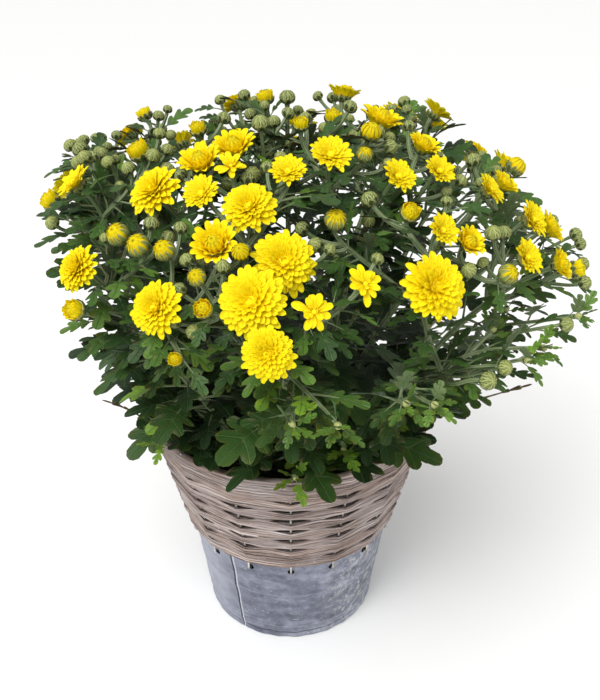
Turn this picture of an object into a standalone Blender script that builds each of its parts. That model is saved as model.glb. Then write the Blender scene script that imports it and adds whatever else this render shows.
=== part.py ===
"""A pot chrysanthemum: yellow blooms on a dome of leafy stems, in a zinc bucket with a willow collar.

Metres, +Z up. The origin is the middle of the bucket's underside, and the front of the pot faces -Y.
Azimuths are in degrees from the front, growing towards +X. Polar angles are in degrees from the top.
"""
import math
import random
from collections import namedtuple

import bmesh
import bpy
from mathutils import Matrix, Vector
from mathutils.bvhtree import BVHTree

MM = 0.001
GOLDEN = 0.618

# The gap kept between pieces that touch
GAP = 0.0003

# The zinc bucket
BASE_RADIUS = 0.0684
ZINC_HEIGHT = 0.090
ZINC_RADIUS = 0.0815
SHEET = 0.0008
BEAD_PROUD = 0.0010
BEAD_HEIGHT = 0.0048
POT_SIDES = 32

# The wire frame: stakes hooked into the zinc and bound to a ring at the rim
RIM_HEIGHT = 0.188
RIM_RADIUS = 0.110
STAKES = 16
STAKE_RADIUS = 0.0008
RING_RADIUS = 0.0010
HOLE_RADIUS = 0.0024
HOLE_DOWN = 0.0080

# The willow collar
STRAND_HALF = 0.0011
ROWS = 7
ROW_PITCH = 0.0110
WRAP_HEIGHT = 0.0185

# The growing pot and its soil
GROW_HEIGHT = 0.170
GROW_TOP = 0.0895
GROW_BOTTOM = 0.0612
GROW_WALL = 0.0012
GROW_LIP = 0.0040
GROW_SIDES = 24
SOIL_TOP = 0.1645
STEM_HOLE_DEPTH = 0.014
STEM_HOLE_RADIUS = 0.0038

# The crown: heads stand on a flattened ball
CROWN_RADIUS = 0.214
CROWN_TALL = 0.161
CROWN_HEIGHT = 0.261

# The stems, from the middle outwards: how many, the polar angle of their tips, their distance at the soil
STEM_RINGS = ((1, 8, 0.008), (6, 36, 0.034), (11, 63, 0.060))
STEM_RADIUS = 0.0026
TIP_RADIUS = 0.0013
NODE_PLACES = (0.17, 0.38, 0.57, 0.75)
NODE_HALF = 0.0020
LONG_SHOOT = 0.042

# A side shoot's length from its node to its head, at least and at most, and its radii at both ends
HEAD_REACH = (0.016, 0.160)
BUD_REACH = (0.010, 0.105)
SHOOT_RADII = (0.0017, 0.0012)
BUD_SHOOT_RADII = (0.0013, 0.0010)
NODE_TRIES = 24

# Sideways bends that a shoot tries until it finds a free way
BENDS = (
    (0, 0), (0.1, 0), (-0.1, 0), (0, 0.1), (0, -0.1), (0.2, 0.1), (-0.2, 0.1), (0.1, -0.2), (-0.2, -0.2),
    (0.3, 0), (-0.3, 0), (0, 0.3), (0, -0.3),
)

# The heads seen from the front: azimuth, polar angle, width in millimetres
OPEN_HEADS = (
    (-62, 42, 26), (-35, 37, 33), (-23, 35, 23), (-9, 38, 31), (0, 31, 22), (-1, 47, 36),
    (-41, 55, 28), (-22, 58, 31), (-6, 55, 38), (-3, 64, 29), (14, 27, 26), (44, 35, 21),
    (30, 34, 22), (54, 42, 22), (60, 51, 25), (49, 56, 23), (26, 55, 38), (32, 46, 20),
)
# Blooms from this width on have three layers of petals
FULL_FROM = 28
LOOSE_HEADS = ((-17, 30, 20), (4, 57, 22), (13, 53, 21))
HALF_HEADS = (
    (-30, 28, 19), (-22, 23, 19), (-15, 45, 19), (63, 18, 20), (54, 28, 15), (66, 43, 14),
    (70, 56, 17), (62, 62, 15), (38, 49, 14),
)
CUP_HEADS = (
    (-48, 5, 13), (-44, 21, 12), (-57, 30, 16), (-69, 48, 15), (-38, 62, 14), (-14, 57, 12),
    (-17, 66, 9), (29, 15, 12), (7, 17, 11), (28, 41, 13), (72, 68, 15),
)
YELLOW_BUDS = (
    (-9, 47, 9), (-36, 47, 12), (-30, 48, 12), (-24, 48, 11), (-16, 52, 9), (37, 22, 12),
    (10, 41, 11), (25, 28, 9), (88, 46, 13), (42, 57, 11), (61, 47, 13),
)

# The heads at the back follow a rule, between two azimuths and two polar angles
BACK_BLOOMS = 9
BACK_BLOOM_AZIMUTHS = (108, 253)
BACK_BLOOM_POLARS = (20, 64)
BACK_SMALL = 14
BACK_SMALL_AZIMUTHS = (98, 263)
BACK_SMALL_POLARS = (12, 66)
BACK_WIDTHS = {"half": 18, "cup": 13, "yellow": 11}

# A bloom turns this much outwards, leans up to this much, and tries these depths under the crown
BLOOM_OUTWARD = 0.25
BLOOM_LEAN = 0.12
BLOOM_DEPTHS = (0.000, 0.006, -0.006, 0.012, -0.010, 0.018, 0.024)

# The green buds stand on a spiral over the crown, this clear of the heads
GREEN_BUDS = 40
GREEN_BUD_TRIES = 150
GREEN_BUD_TURN = 2.39996
GREEN_BUD_POLARS = (6, 77)
GREEN_BUD_ROOM = 0.008
BUD_SIZE = 0.0085

# The leaves: half width and forward sweep along the blade, as parts of its length
LOBED_BLADE = ((0.20, 0.03, 0.0), (0.42, 0.33, 0.07), (0.55, 0.16, 0.0), (0.77, 0.27, 0.06), (1.0, 0.02, 0.0))
PLAIN_BLADE = ((0.22, 0.03, 0.0), (0.58, 0.25, 0.04), (1.0, 0.02, 0.0))
BLADE_HALF = 0.0008
LOBED_LEAVES = 60
LEAVES_AT_NODE = 2
PLAIN_LEAVES = 46
LOBED_LENGTH = 0.068
LOBED_SHORTER = 0.005
PLAIN_LENGTH = 0.040
DROOPS = (0.5, 0.1, 0.9, -0.3, 1.3, 0.3, 0.7)

# A stem node this high or higher carries plain leaves; the side shoots' own nodes count as this
UPPER_NODE = 4
SHOOT_NODE = 9

# In the tests for room, a new shoot is this much fatter, and starts this far out from its root
TEST_SWELL = 0.0002
ROOT_PUSH = 0.0007

# One slice of a stem, leaf or bud while it grows
Section = namedtuple("Section", "centre axis across wide tall sweep")

# Where a side shoot can leave a stem: the place, the stem's direction there, and the four faces
Node = namedtuple("Node", "stem place axis faces height")


def clear_scene():
    for obj in list(bpy.data.objects):
        bpy.data.objects.remove(obj)


def collection(name):
    made = bpy.data.collections.new(name)
    bpy.context.scene.collection.children.link(made)
    return made


def material(name, colour, roughness, metallic=0.0):
    made = bpy.data.materials.new(name)
    made.use_nodes = True
    shader = made.node_tree.nodes["Principled BSDF"]
    shader.inputs["Base Color"].default_value = (*colour, 1.0)
    shader.inputs["Roughness"].default_value = roughness
    shader.inputs["Metallic"].default_value = metallic
    return made


def add_object(name, bm, group, *materials):
    """Make an object of a finished bmesh."""
    mesh = bpy.data.meshes.new(name)
    bm.to_mesh(mesh)
    bm.free()
    made = bpy.data.objects.new(name, mesh)
    for each in materials:
        mesh.materials.append(each)
    group.objects.link(made)
    return made


def turned(name, profile, sides, group, finish):
    """A profile of (radius, height) points, turned about the Z axis."""
    mesh = bpy.data.meshes.new(name)
    points = [(radius, 0.0, height) for radius, height in profile]
    edges = [(i, i + 1) for i in range(len(points) - 1)]
    mesh.from_pydata(points, edges, [])
    mesh.materials.append(finish)
    made = bpy.data.objects.new(name, mesh)
    group.objects.link(made)
    screw = made.modifiers.new("turn", "SCREW")
    screw.steps = sides
    screw.render_steps = sides
    screw.use_merge_vertices = True
    screw.merge_threshold = 0.0001
    screw.use_smooth_shade = False
    return made


def around(radius, azimuth, height):
    """The point at an azimuth in radians from the front."""
    return Vector((radius * math.sin(azimuth), -radius * math.cos(azimuth), height))


def cut(target, cutter):
    cutter.hide_render = True
    cutter.display_type = "WIRE"
    boolean = target.modifiers.new("holes", "BOOLEAN")
    boolean.operation = "DIFFERENCE"
    boolean.solver = "EXACT"
    boolean.object = cutter


def pegs(name, places, radius, length, sides, group):
    """A cutter of loose pegs: each place is the peg's middle and its direction."""
    bm = bmesh.new()
    for middle, direction in places:
        turn = direction.to_track_quat("Z", "Y").to_matrix().to_4x4()
        bmesh.ops.create_cone(
            bm, cap_ends=True, segments=sides, radius1=radius, radius2=radius, depth=length,
            matrix=Matrix.Translation(middle) @ turn,
        )
    return add_object(name, bm, group)


# The pot

def stake_azimuth(index):
    return 2 * math.pi * index / STAKES


def wall_radius(height):
    """Where the stakes stand, in the middle of the willow wall."""
    swing = STAKE_RADIUS + GAP + STRAND_HALF
    top = RIM_RADIUS - swing - STRAND_HALF
    bottom = ZINC_RADIUS + STAKE_RADIUS + GAP
    along = (height - ZINC_HEIGHT) / (RIM_HEIGHT - ZINC_HEIGHT)
    return bottom + (top - bottom) * along


def make_bucket(group, cutters, finish):
    profile = (
        (0.0, SHEET),
        (BASE_RADIUS - BEAD_PROUD - SHEET, SHEET),
        (ZINC_RADIUS - SHEET, ZINC_HEIGHT),
        (ZINC_RADIUS, ZINC_HEIGHT),
        (BASE_RADIUS, BEAD_HEIGHT + BEAD_PROUD),
        (BASE_RADIUS + BEAD_PROUD, BEAD_HEIGHT),
        (BASE_RADIUS + BEAD_PROUD, BEAD_PROUD),
        (BASE_RADIUS, 0.0),
        (0.0, 0.0),
    )
    bucket = turned("bucket", profile, POT_SIDES, group, finish)
    level = ZINC_HEIGHT - HOLE_DOWN
    places = []
    for index in range(STAKES):
        outward = around(1.0, stake_azimuth(index), 0.0)
        places.append((around(ZINC_RADIUS, stake_azimuth(index), level), outward))
    cut(bucket, pegs("stake_holes", places, HOLE_RADIUS, 0.012, 5, cutters))


def make_wire_frame(group, finish):
    """A ring at the rim, with the stakes grown down from its underside."""
    level = RIM_HEIGHT - RING_RADIUS
    radius = wall_radius(level)
    slot = STAKE_RADIUS / radius
    bm = bmesh.new()
    rings = []
    for index in range(STAKES):
        for turn in (-slot, slot):
            azimuth = stake_azimuth(index) + turn
            outward = around(1.0, azimuth, 0.0)
            centre = around(radius, azimuth, level)
            offsets = (outward, Vector((0, 0, 1)), -outward, Vector((0, 0, -1)))
            rings.append([bm.verts.new(centre + offset * RING_RADIUS) for offset in offsets])
    for index, ring in enumerate(rings):
        join_rings(bm, rings[(index + 1) % len(rings)], ring)
    bm.normal_update()
    hook_level = ZINC_HEIGHT - HOLE_DOWN
    hook_radius = wall_radius(ZINC_HEIGHT) - 0.0012
    path = (
        (wall_radius(ZINC_HEIGHT), ZINC_HEIGHT + GAP),
        (hook_radius + 0.0006, hook_level + 0.0026),
        (hook_radius - 0.0010, hook_level + 0.0002),
        (ZINC_RADIUS - 0.0036, hook_level - 0.0004),
    )
    for index in range(STAKES):
        azimuth = stake_azimuth(index)
        root = min(bm.faces, key=lambda f: (f.calc_center_median() - around(
            radius - RING_RADIUS / 2, azimuth, level - RING_RADIUS / 2)).length)
        across = around(1.0, azimuth + math.pi / 2, 0.0)
        before = around(radius, azimuth, level)
        for distance, height in path:
            centre = around(distance, azimuth, height)
            axis = (centre - before).normalized()
            section = Section(centre, axis, across, STAKE_RADIUS, STAKE_RADIUS, 0.0)
            root = grow(bm, root, section)
            before = centre
    return add_object("wire_frame", bm, group, finish)


def join_rings(bm, low, high):
    """Quads between two rings with the same number of points."""
    count = len(low)
    for i in range(count):
        bm.faces.new((low[i], low[(i + 1) % count], high[(i + 1) % count], high[i]))


def make_weave_row(name, bottom, top, first_outside, group, finish):
    """One willow ring: outside every second stake, inside the others."""
    swing = STAKE_RADIUS + GAP + STRAND_HALF
    offsets = (0.0, swing, 0.0, -swing)
    bm = bmesh.new()
    rings = []
    for station in range(2 * STAKES):
        azimuth = stake_azimuth(station / 2)
        step = (station + (1 if first_outside else 3)) % 4
        offset = offsets[step]
        corners = (
            (wall_radius(bottom) + offset - STRAND_HALF, bottom),
            (wall_radius(bottom) + offset + STRAND_HALF, bottom),
            (wall_radius(top) + offset + STRAND_HALF, top),
            (wall_radius(top) + offset - STRAND_HALF, top),
        )
        rings.append([bm.verts.new(around(radius, azimuth, height)) for radius, height in corners])
    for index, ring in enumerate(rings):
        join_rings(bm, rings[(index + 1) % len(rings)], ring)
    return add_object(name, bm, group, finish)


def make_collar(group, finish):
    bottom = ZINC_HEIGHT + GAP
    for row in range(ROWS):
        top = bottom + ROW_PITCH - GAP
        make_weave_row(f"willow_row_{row + 1}", bottom, top, row % 2 == 0, group, finish)
        bottom += ROW_PITCH
    make_weave_row("willow_rim_wrap", bottom, bottom + WRAP_HEIGHT, ROWS % 2 == 0, group, finish)


def make_growing_pot(group, finish):
    floor = SHEET + GAP
    lip = 0.0030
    profile = (
        (0.0, floor + GROW_WALL),
        (GROW_BOTTOM, floor + GROW_WALL),
        (GROW_TOP, GROW_HEIGHT),
        (GROW_TOP + GROW_LIP, GROW_HEIGHT),
        (GROW_TOP + GROW_LIP, GROW_HEIGHT - lip),
        (GROW_TOP + GROW_WALL, GROW_HEIGHT - lip),
        (GROW_BOTTOM + GROW_WALL, floor),
        (0.0, floor),
    )
    turned("growing_pot", profile, GROW_SIDES, group, finish)


def make_soil(roots, group, cutters, finish):
    floor = SHEET + GAP + GROW_WALL + GAP
    edge = SOIL_TOP - 0.004
    slope = (GROW_TOP - GROW_BOTTOM) / (GROW_HEIGHT - floor)
    profile = (
        (0.0, SOIL_TOP),
        (0.070, SOIL_TOP),
        (GROW_BOTTOM + slope * (edge - floor) - 2 * GAP, edge),
        (GROW_BOTTOM - 2 * GAP, floor),
        (0.0, floor),
    )
    soil = turned("soil", profile, GROW_SIDES, group, finish)
    places = [(root + Vector((0, 0, STEM_HOLE_DEPTH / 2)), Vector((0, 0, 1))) for root in roots]
    cut(soil, pegs("stem_holes", places, STEM_HOLE_RADIUS, 2 * STEM_HOLE_DEPTH - 0.001, 4, cutters))


# Growing a plant: every shoot is pushed out of a face of what it grows from

def square_to(axis, hint):
    """Two directions square to an axis, the first one nearest to the hint."""
    across = hint - axis * hint.dot(axis)
    if across.length < 1e-6:
        across = axis.orthogonal()
    across.normalize()
    return across, axis.cross(across)


def corners_of(section, swell=0.0):
    across, up = square_to(section.axis, section.across)
    forward = section.axis * section.sweep
    wide = section.wide + swell
    tall = section.tall + swell
    return [
        section.centre + across * wide + forward,
        section.centre + up * tall,
        section.centre - across * wide + forward,
        section.centre - up * tall,
    ]


def matched(points, section):
    """A section's corners, in the order that twists least from four older points."""
    corners = corners_of(section)
    middle = sum(points, Vector()) / 4

    def alike(shift):
        return sum((points[i] - middle).dot(corners[(i + shift) % 4] - section.centre) for i in range(4))

    shift = max(range(4), key=alike)
    return [corners[(i + shift) % 4] for i in range(4)]


def grow(bm, cap, section):
    """Push a four-sided face out to a new section."""
    new = bmesh.ops.extrude_discrete_faces(bm, faces=[cap])["faces"][0]
    for vert, corner in zip(new.verts, matched([v.co.copy() for v in new.verts], section)):
        vert.co = corner
    return new


def side_faces(cap):
    """The four faces behind a cap."""
    return [f for edge in cap.edges for f in edge.link_faces if f is not cap]


def stitch(bm, low, high, centre, axis, across):
    """Triangles between two rings that may have unlike numbers of points."""
    up = axis.cross(across)

    def bearing(vert):
        spoke = vert.co - centre
        return math.atan2(spoke.dot(up), spoke.dot(across)) % (2 * math.pi)

    low = sorted(low, key=bearing)
    high = sorted(high, key=bearing)
    i = j = 0
    while i < len(low) or j < len(high):
        next_low = bearing(low[i + 1]) if i + 1 < len(low) else bearing(low[0]) + 2 * math.pi
        next_high = bearing(high[j + 1]) if j + 1 < len(high) else bearing(high[0]) + 2 * math.pi
        a = low[i % len(low)]
        b = high[j % len(high)]
        if j >= len(high) or (i < len(low) and next_low <= next_high):
            bm.faces.new((a, low[(i + 1) % len(low)], b))
            i += 1
        else:
            bm.faces.new((a, high[(j + 1) % len(high)], b))
            j += 1


def head_ring(bm, centre, axis, across, ring):
    """A ring of points; a ring with a dip is a star, with its valleys drawn in and shifted along."""
    points, radius, along, dip, lift, turn = ring
    up = axis.cross(across)
    made = []
    for i in range(points):
        angle = 2 * math.pi * (i + turn) / points
        valley = dip and i % 2
        reach = radius * (1 - dip) if valley else radius
        rise = along + lift if valley else along
        place = centre + axis * rise + (across * math.cos(angle) + up * math.sin(angle)) * reach
        made.append(bm.verts.new(place))
    return made


def grow_head(bm, low, centre, axis, across, rings, apex):
    """Rings stacked on a first ring, closed by a point at the apex height, or flat if that is None."""
    across = square_to(axis, across)[0]
    for ring in rings:
        high = head_ring(bm, centre, axis, across, ring)
        stitch(bm, low, high, centre, axis, across)
        low = high
    if apex is None:
        return bm.faces.new(low)
    top = bm.verts.new(centre + axis * apex)
    for i, vert in enumerate(low):
        bm.faces.new((vert, low[(i + 1) % len(low)], top))
    return None


def open_cap(bm, cap):
    """Take a cap away and give back its four points."""
    verts = list(cap.verts)
    bmesh.ops.delete(bm, geom=[cap], context="FACES_ONLY")
    return verts


# Keeping shoots clear of each other

class Space:
    """What has grown so far, for the test that a new piece touches none of it."""

    def __init__(self):
        self.taken = []

    def add(self, points, faces):
        tree = BVHTree.FromPolygons(points, faces)
        low = [min(p[i] for p in points) for i in range(3)]
        high = [max(p[i] for p in points) for i in range(3)]
        self.taken.append((tree, low, high))

    def is_free(self, points, faces):
        low = [min(p[i] for p in points) for i in range(3)]
        high = [max(p[i] for p in points) for i in range(3)]
        tree = None
        for other, other_low, other_high in self.taken:
            if any(low[i] > other_high[i] or high[i] < other_low[i] for i in range(3)):
                continue
            tree = tree or BVHTree.FromPolygons(points, faces)
            if tree.overlap(other):
                return False
        return True


def shell(sections, swell=0.0, root=None, push=0.0):
    """The skin over some sections, and from the face that they grow from, pushed out a little."""
    points = []
    faces = []
    for section in sections:
        points += corners_of(section, swell)
    if root:
        foot = [v.co + root.normal * push for v in root.verts]
        order = matched(foot, sections[0])
        plain = corners_of(sections[0])
        start = [None] * 4
        for point, corner in zip(foot, order):
            start[plain.index(corner)] = point
        points = start + points
    for i in range(len(points) // 4 - 1):
        for k in range(4):
            a = 4 * i + k
            b = 4 * i + (k + 1) % 4
            faces.append((a, b, b + 4, a + 4))
    last = len(points) - 4
    faces.append((3, 2, 1, 0))
    faces.append((last, last + 1, last + 2, last + 3))
    return points, faces


def pot_shell():
    """The soil, the growing pot's lip and the collar's upper part, as one plain turned surface."""
    clear = 2 * GAP
    inside = STAKE_RADIUS + GAP + 2 * STRAND_HALF + clear
    lip = GROW_HEIGHT + clear
    rim = RIM_HEIGHT + clear
    below = RIM_HEIGHT / 2
    profile = (
        (0.001, SOIL_TOP + clear),
        (GROW_TOP - clear, SOIL_TOP + clear),
        (GROW_TOP - clear, lip),
        (GROW_TOP + GROW_LIP + clear, lip),
        (wall_radius(lip) - inside, lip),
        (wall_radius(rim) - inside, rim),
        (wall_radius(rim) + inside, rim),
        (wall_radius(below) + inside, below),
    )
    return turned_shell(Vector(), Vector((0, 0, 1)), Vector((1, 0, 0)), profile, 2 * STAKES)


def turned_shell(centre, axis, across, profile, sides):
    """The points and faces of a profile of (radius, height) pairs turned about an axis."""
    up = axis.cross(across)
    points = []
    for radius, height in profile:
        for i in range(sides):
            angle = 2 * math.pi * i / sides
            points.append(centre + axis * height + (across * math.cos(angle) + up * math.sin(angle)) * radius)
    faces = []
    for ring in range(len(profile) - 1):
        for i in range(sides):
            a = ring * sides + i
            b = ring * sides + (i + 1) % sides
            faces.append((a, b, b + sides, a + sides))
    return points, faces


def bloom_shell(place, facing, width):
    """A plain round skin over a bloom, from its seat up."""
    foot = -GAP / 2
    top = 0.33 * width
    profile = (
        (0.001, foot),
        (SEAT * width, foot),
        (0.51 * width, 0.03 * width),
        (0.51 * width, 0.09 * width),
        (0.26 * width, top),
        (0.001, top),
    )
    across = square_to(facing, Vector((0.6, 0.3, 0.7)))[0]
    return turned_shell(place, facing, across, profile, 12)


def between(ends, share):
    return ends[0] + (ends[1] - ends[0]) * share


def on_crown(azimuth, polar, depth=0.0):
    """A place on the crown and the direction that it faces, from angles in degrees."""
    azimuth = math.radians(azimuth)
    polar = math.radians(polar)
    unit = Vector((math.sin(polar) * math.sin(azimuth), -math.sin(polar) * math.cos(azimuth), math.cos(polar)))
    place = Vector((CROWN_RADIUS * unit.x, CROWN_RADIUS * unit.y, CROWN_HEIGHT + CROWN_TALL * unit.z))
    facing = Vector((unit.x / CROWN_RADIUS, unit.y / CROWN_RADIUS, unit.z / CROWN_TALL)).normalized()
    return place - facing * depth, facing


def curve_point(p, t):
    s = 1 - t
    return p[0] * s ** 3 + p[1] * 3 * s * s * t + p[2] * 3 * s * t * t + p[3] * t ** 3


def curve_axis(p, t):
    s = 1 - t
    return ((p[1] - p[0]) * s * s + (p[2] - p[1]) * 2 * s * t + (p[3] - p[2]) * t * t).normalized()


# The heads

# Rings from the seat up: points, radius, height, dip, lift of the valleys, turn; sizes are parts of the width
FULL_BLOOM = (
    (18, 0.50, 0.05, 0.24, 0.03, 0.0),
    (9, 0.25, 0.12, 0.0, 0.0, 0.5),
    (18, 0.39, 0.21, 0.26, -0.02, 1.0),
    (9, 0.17, 0.19, 0.0, 0.0, 0.0),
    (18, 0.24, 0.32, 0.26, -0.03, 0.0),
)
FULL_APEX = 0.27
SMALL_BLOOM = (
    (16, 0.50, 0.06, 0.25, 0.03, 0.0),
    (8, 0.22, 0.14, 0.0, 0.0, 0.5),
    (16, 0.32, 0.27, 0.28, -0.03, 1.0),
)
SMALL_APEX = 0.21
LOOSE_BLOOM = (
    (14, 0.50, 0.12, 0.52, -0.02, 0.0),
    (7, 0.16, 0.15, 0.0, 0.0, 0.5),
    (14, 0.26, 0.26, 0.30, -0.03, 1.0),
)
LOOSE_APEX = 0.19
SEAT = 0.13
CALYX_HEIGHT = 0.09


def bloom_mesh(centre, facing, width, kind, turn):
    """A bloom on its own flat seat, as a bmesh."""
    rings, apex = {
        "full": (FULL_BLOOM, FULL_APEX),
        "small": (SMALL_BLOOM, SMALL_APEX),
        "loose": (LOOSE_BLOOM, LOOSE_APEX),
    }[kind]
    across = square_to(facing, Vector((math.cos(turn), math.sin(turn), 0.3)))[0]
    points = rings[0][0] // 2
    bm = bmesh.new()
    seat = head_ring(bm, centre, facing, across, (points, width * SEAT, 0.0, 0.0, 0.0, 0.0))
    bm.faces.new(list(reversed(seat)))
    scaled = [(n, r * width, h * width, dip, lift * width, t) for n, r, h, dip, lift, t in rings]
    grow_head(bm, seat, centre, facing, across, scaled, apex * width)
    return bm


def place_blooms(space):
    """The many-petalled heads; one that would touch another is moved in or out."""
    rng = random.Random(7)
    heads = [(a, p, w, "full" if w >= FULL_FROM else "small") for a, p, w in OPEN_HEADS]
    heads += [(a, p, w, "loose") for a, p, w in LOOSE_HEADS]
    for i in range(BACK_BLOOMS):
        azimuth = between(BACK_BLOOM_AZIMUTHS, i * GOLDEN % 1)
        polar = between(BACK_BLOOM_POLARS, math.sqrt((i + 0.5) / BACK_BLOOMS))
        heads.append((azimuth, polar, 26 + 11 * (i * 0.37 % 1), "full" if i % 2 else "small"))
    placed = []
    for azimuth, polar, width, kind in sorted(heads, key=lambda head: -head[2]):
        width = width * MM
        turn = rng.uniform(0, math.pi)
        lean = Vector((rng.uniform(-1, 1), rng.uniform(-1, 1), rng.uniform(-1, 1))) * BLOOM_LEAN
        for depth in BLOOM_DEPTHS:
            place, facing = on_crown(azimuth, polar, depth + 0.25 * width)
            outward = Vector((place.x, place.y, 0.0)).normalized()
            facing = (facing + outward * BLOOM_OUTWARD + lean).normalized()
            skin = bloom_shell(place, facing, width)
            if space.is_free(*skin):
                space.add(*skin)
                placed.append((place, facing, width, kind, turn))
                break
    return placed


def small_heads():
    """The half-open heads, cups and yellow buds, which grow on their stems."""
    heads = []
    for kind, rows in (("half", HALF_HEADS), ("cup", CUP_HEADS), ("yellow", YELLOW_BUDS)):
        for azimuth, polar, width in rows:
            heads.append((azimuth, polar, width, kind))
    for i in range(BACK_SMALL):
        azimuth = between(BACK_SMALL_AZIMUTHS, (i * GOLDEN + 0.31) % 1)
        polar = between(BACK_SMALL_POLARS, math.sqrt((i + 0.5) / BACK_SMALL))
        kind = ("half", "cup", "yellow")[i % 3]
        heads.append((azimuth, polar, BACK_WIDTHS[kind], kind))
    made = []
    for azimuth, polar, width, kind in heads:
        place, facing = on_crown(azimuth, polar, 0.8 * width * MM)
        outward = Vector((place.x, place.y, 0.0)).normalized()
        made.append((place, (facing + outward * 0.1).normalized(), width * MM, kind))
    return made


def green_buds(heads):
    """Round green buds spread over the crown on a spiral, where no head is."""
    rng = random.Random(11)
    made = []
    for i in range(GREEN_BUD_TRIES):
        if len(made) == GREEN_BUDS:
            break
        azimuth = math.degrees(i * GREEN_BUD_TURN) + rng.uniform(-6, 6)
        polar = between(GREEN_BUD_POLARS, math.sqrt(i * GOLDEN % 1))
        place, facing = on_crown(azimuth, polar, rng.uniform(0.002, 0.012))
        near = min((place - head[0]).length - head[2] / 2 for head in heads + made)
        if near > GREEN_BUD_ROOM:
            made.append((place, facing, BUD_SIZE * rng.uniform(0.85, 1.15), "bud"))
    return made


def head_sections(place, facing, width, kind, across):
    """The rough sections of a head, for the test that it has room."""
    half = width / 2
    if kind == "bloom":
        shape = ((0.0, SEAT * width), (CALYX_HEIGHT * width, SEAT * width))
    elif kind in ("half", "cup"):
        shape = ((0.0, 0.4 * half), (0.3 * width, 1.1 * half), (0.6 * width, 1.4 * half))
    else:
        shape = ((0.0, 0.6 * half), (0.25 * width, 1.4 * half), (0.75 * width, 1.4 * half), (width, 0.5 * half))
    return [Section(place + facing * along, facing, across, r, r, 0.0) for along, r in shape]


def finish_head(bm, cap, place, facing, width, kind):
    """Grow a head from the end of its stalk; yellow faces get the second material."""
    across = square_to(facing, cap.verts[0].co - cap.calc_center_median())[0]
    half = width / 2
    low = open_cap(bm, cap)
    before = set(bm.faces)
    if kind == "bloom":
        rings = ((6, SEAT * width, CALYX_HEIGHT * width, 0.0, 0.0, 0.0),)
        grow_head(bm, low, place, facing, across, rings, None)
    elif kind in ("half", "cup"):
        rings = (
            (6, 0.55 * half, 0.20 * width, 0.0, 0.0, 0.0),
            (12, half, 0.62 * width, 0.38, -0.12 * width, 0.5),
            (6, 0.35 * half, 0.42 * width, 0.0, 0.0, 0.5),
        )
        grow_head(bm, low, place, facing, across, rings, 0.58 * width)
    else:
        rings = (
            (4, half, 0.35 * width, 0.0, 0.0, 0.5),
            (4, 0.92 * half, 0.72 * width, 0.0, 0.0, 0.0),
        )
        grow_head(bm, low, place, facing, across, rings, 0.95 * width)
    if kind in ("half", "cup", "yellow"):
        lowest = 0.25 * width
        for face in set(bm.faces) - before:
            if (face.calc_center_median() - place).dot(facing) > lowest:
                face.material_index = 1


# The stems

def stem_roots():
    """Each stem's tip angles and its place at the soil."""
    stems = []
    for ring, (count, polar, distance) in enumerate(STEM_RINGS):
        for i in range(count):
            azimuth = 360 * (i + 0.5 * (ring % 2)) / count
            foot = around(distance, math.radians(azimuth), SOIL_TOP - STEM_HOLE_DEPTH)
            stems.append((azimuth, polar, foot))
    return stems


def shoot_sections(start, first, target, facing, radii, bend, nodes):
    """Sections along a shoot from a face to the foot of its head, and where its nodes are."""
    length = (target - start).length
    side = square_to(facing, first)[0]
    handles = (
        start,
        start + first * length * 0.35 + side * bend[0] * length,
        target - facing * length * 0.30 + side.cross(facing) * bend[1] * length,
        target,
    )
    step = 0.0036 / length
    places = [step]
    for t in nodes:
        places += [t - NODE_HALF / length, t + NODE_HALF / length]
    places.append(1.0)
    sections = []
    for t in places:
        radius = radii[0] + (radii[1] - radii[0]) * t
        axis = curve_axis(handles, t)
        sections.append(Section(curve_point(handles, t), axis, side, radius, radius, 0.0))
    return sections


def grow_shoot(bm, stem, cap, sections, nodes):
    """Grow sections from a face; each pair after the first is a node."""
    made = []
    for i, section in enumerate(sections):
        cap = grow(bm, cap, section)
        if nodes and i >= 2 and i % 2 == 0 and i // 2 <= nodes:
            made.append(Node(stem, section.centre, section.axis, side_faces(cap), i // 2))
    return cap, made


def make_main_stem(index, azimuth, polar, foot, heads, space):
    """The main stem, from its hole in the soil to the head nearest to its tip."""
    tip = on_crown(azimuth, polar)[0]
    order = sorted(heads, key=lambda head: (head[0] - tip).length)
    outward = around(1.0, math.radians(azimuth), 0.0)
    first = (outward * math.sin(math.radians(polar * 0.55)) + Vector((0, 0, 1))).normalized()
    start = foot + Vector((0, 0, STEM_HOLE_DEPTH + 0.003))
    for head in order[:4]:
        place, facing, width, kind = head
        seat = place - facing * (GAP + CALYX_HEIGHT * width) if kind == "bloom" else place
        for bend in BENDS:
            sections = shoot_sections(start, first, seat, facing, (STEM_RADIUS, TIP_RADIUS), bend, NODE_PLACES)
            ending = head_sections(seat, facing, width, kind, sections[-1].across)
            if space.is_free(*shell(sections + ending[1:], GAP + TEST_SWELL)):
                break
        else:
            continue
        break
    else:
        return None
    heads.remove(head)
    bm = bmesh.new()
    low = foot.z + GAP
    bmesh.ops.create_cone(
        bm, cap_ends=True, cap_tris=False, segments=4, radius1=STEM_RADIUS, radius2=STEM_RADIUS,
        depth=start.z - low, matrix=Matrix.Translation((foot.x, foot.y, (low + start.z) / 2)),
    )
    bm.normal_update()
    cap = max(bm.faces, key=lambda f: f.normal.z)
    space.add(*shell([Section(foot, Vector((0, 0, 1)), outward, STEM_RADIUS, STEM_RADIUS, 0.0)] + sections))
    cap, nodes = grow_shoot(bm, index, cap, sections, len(NODE_PLACES))
    finish_head(bm, cap, seat, facing, width, kind)
    if kind != "bloom":
        space.add(*shell(ending))
    return bm, nodes


def root_choices(node, target, used):
    """The free faces of a node that look towards a target, best first."""
    wanted = (target - node.place).normalized()
    choices = []
    for face in node.faces:
        if face in used or not face.is_valid:
            continue
        face.normal_update()
        share = face.normal.dot(wanted)
        if share > 0.15:
            choices.append((share, face))
    return [face for share, face in sorted(choices, key=lambda pair: -pair[0])]


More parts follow.
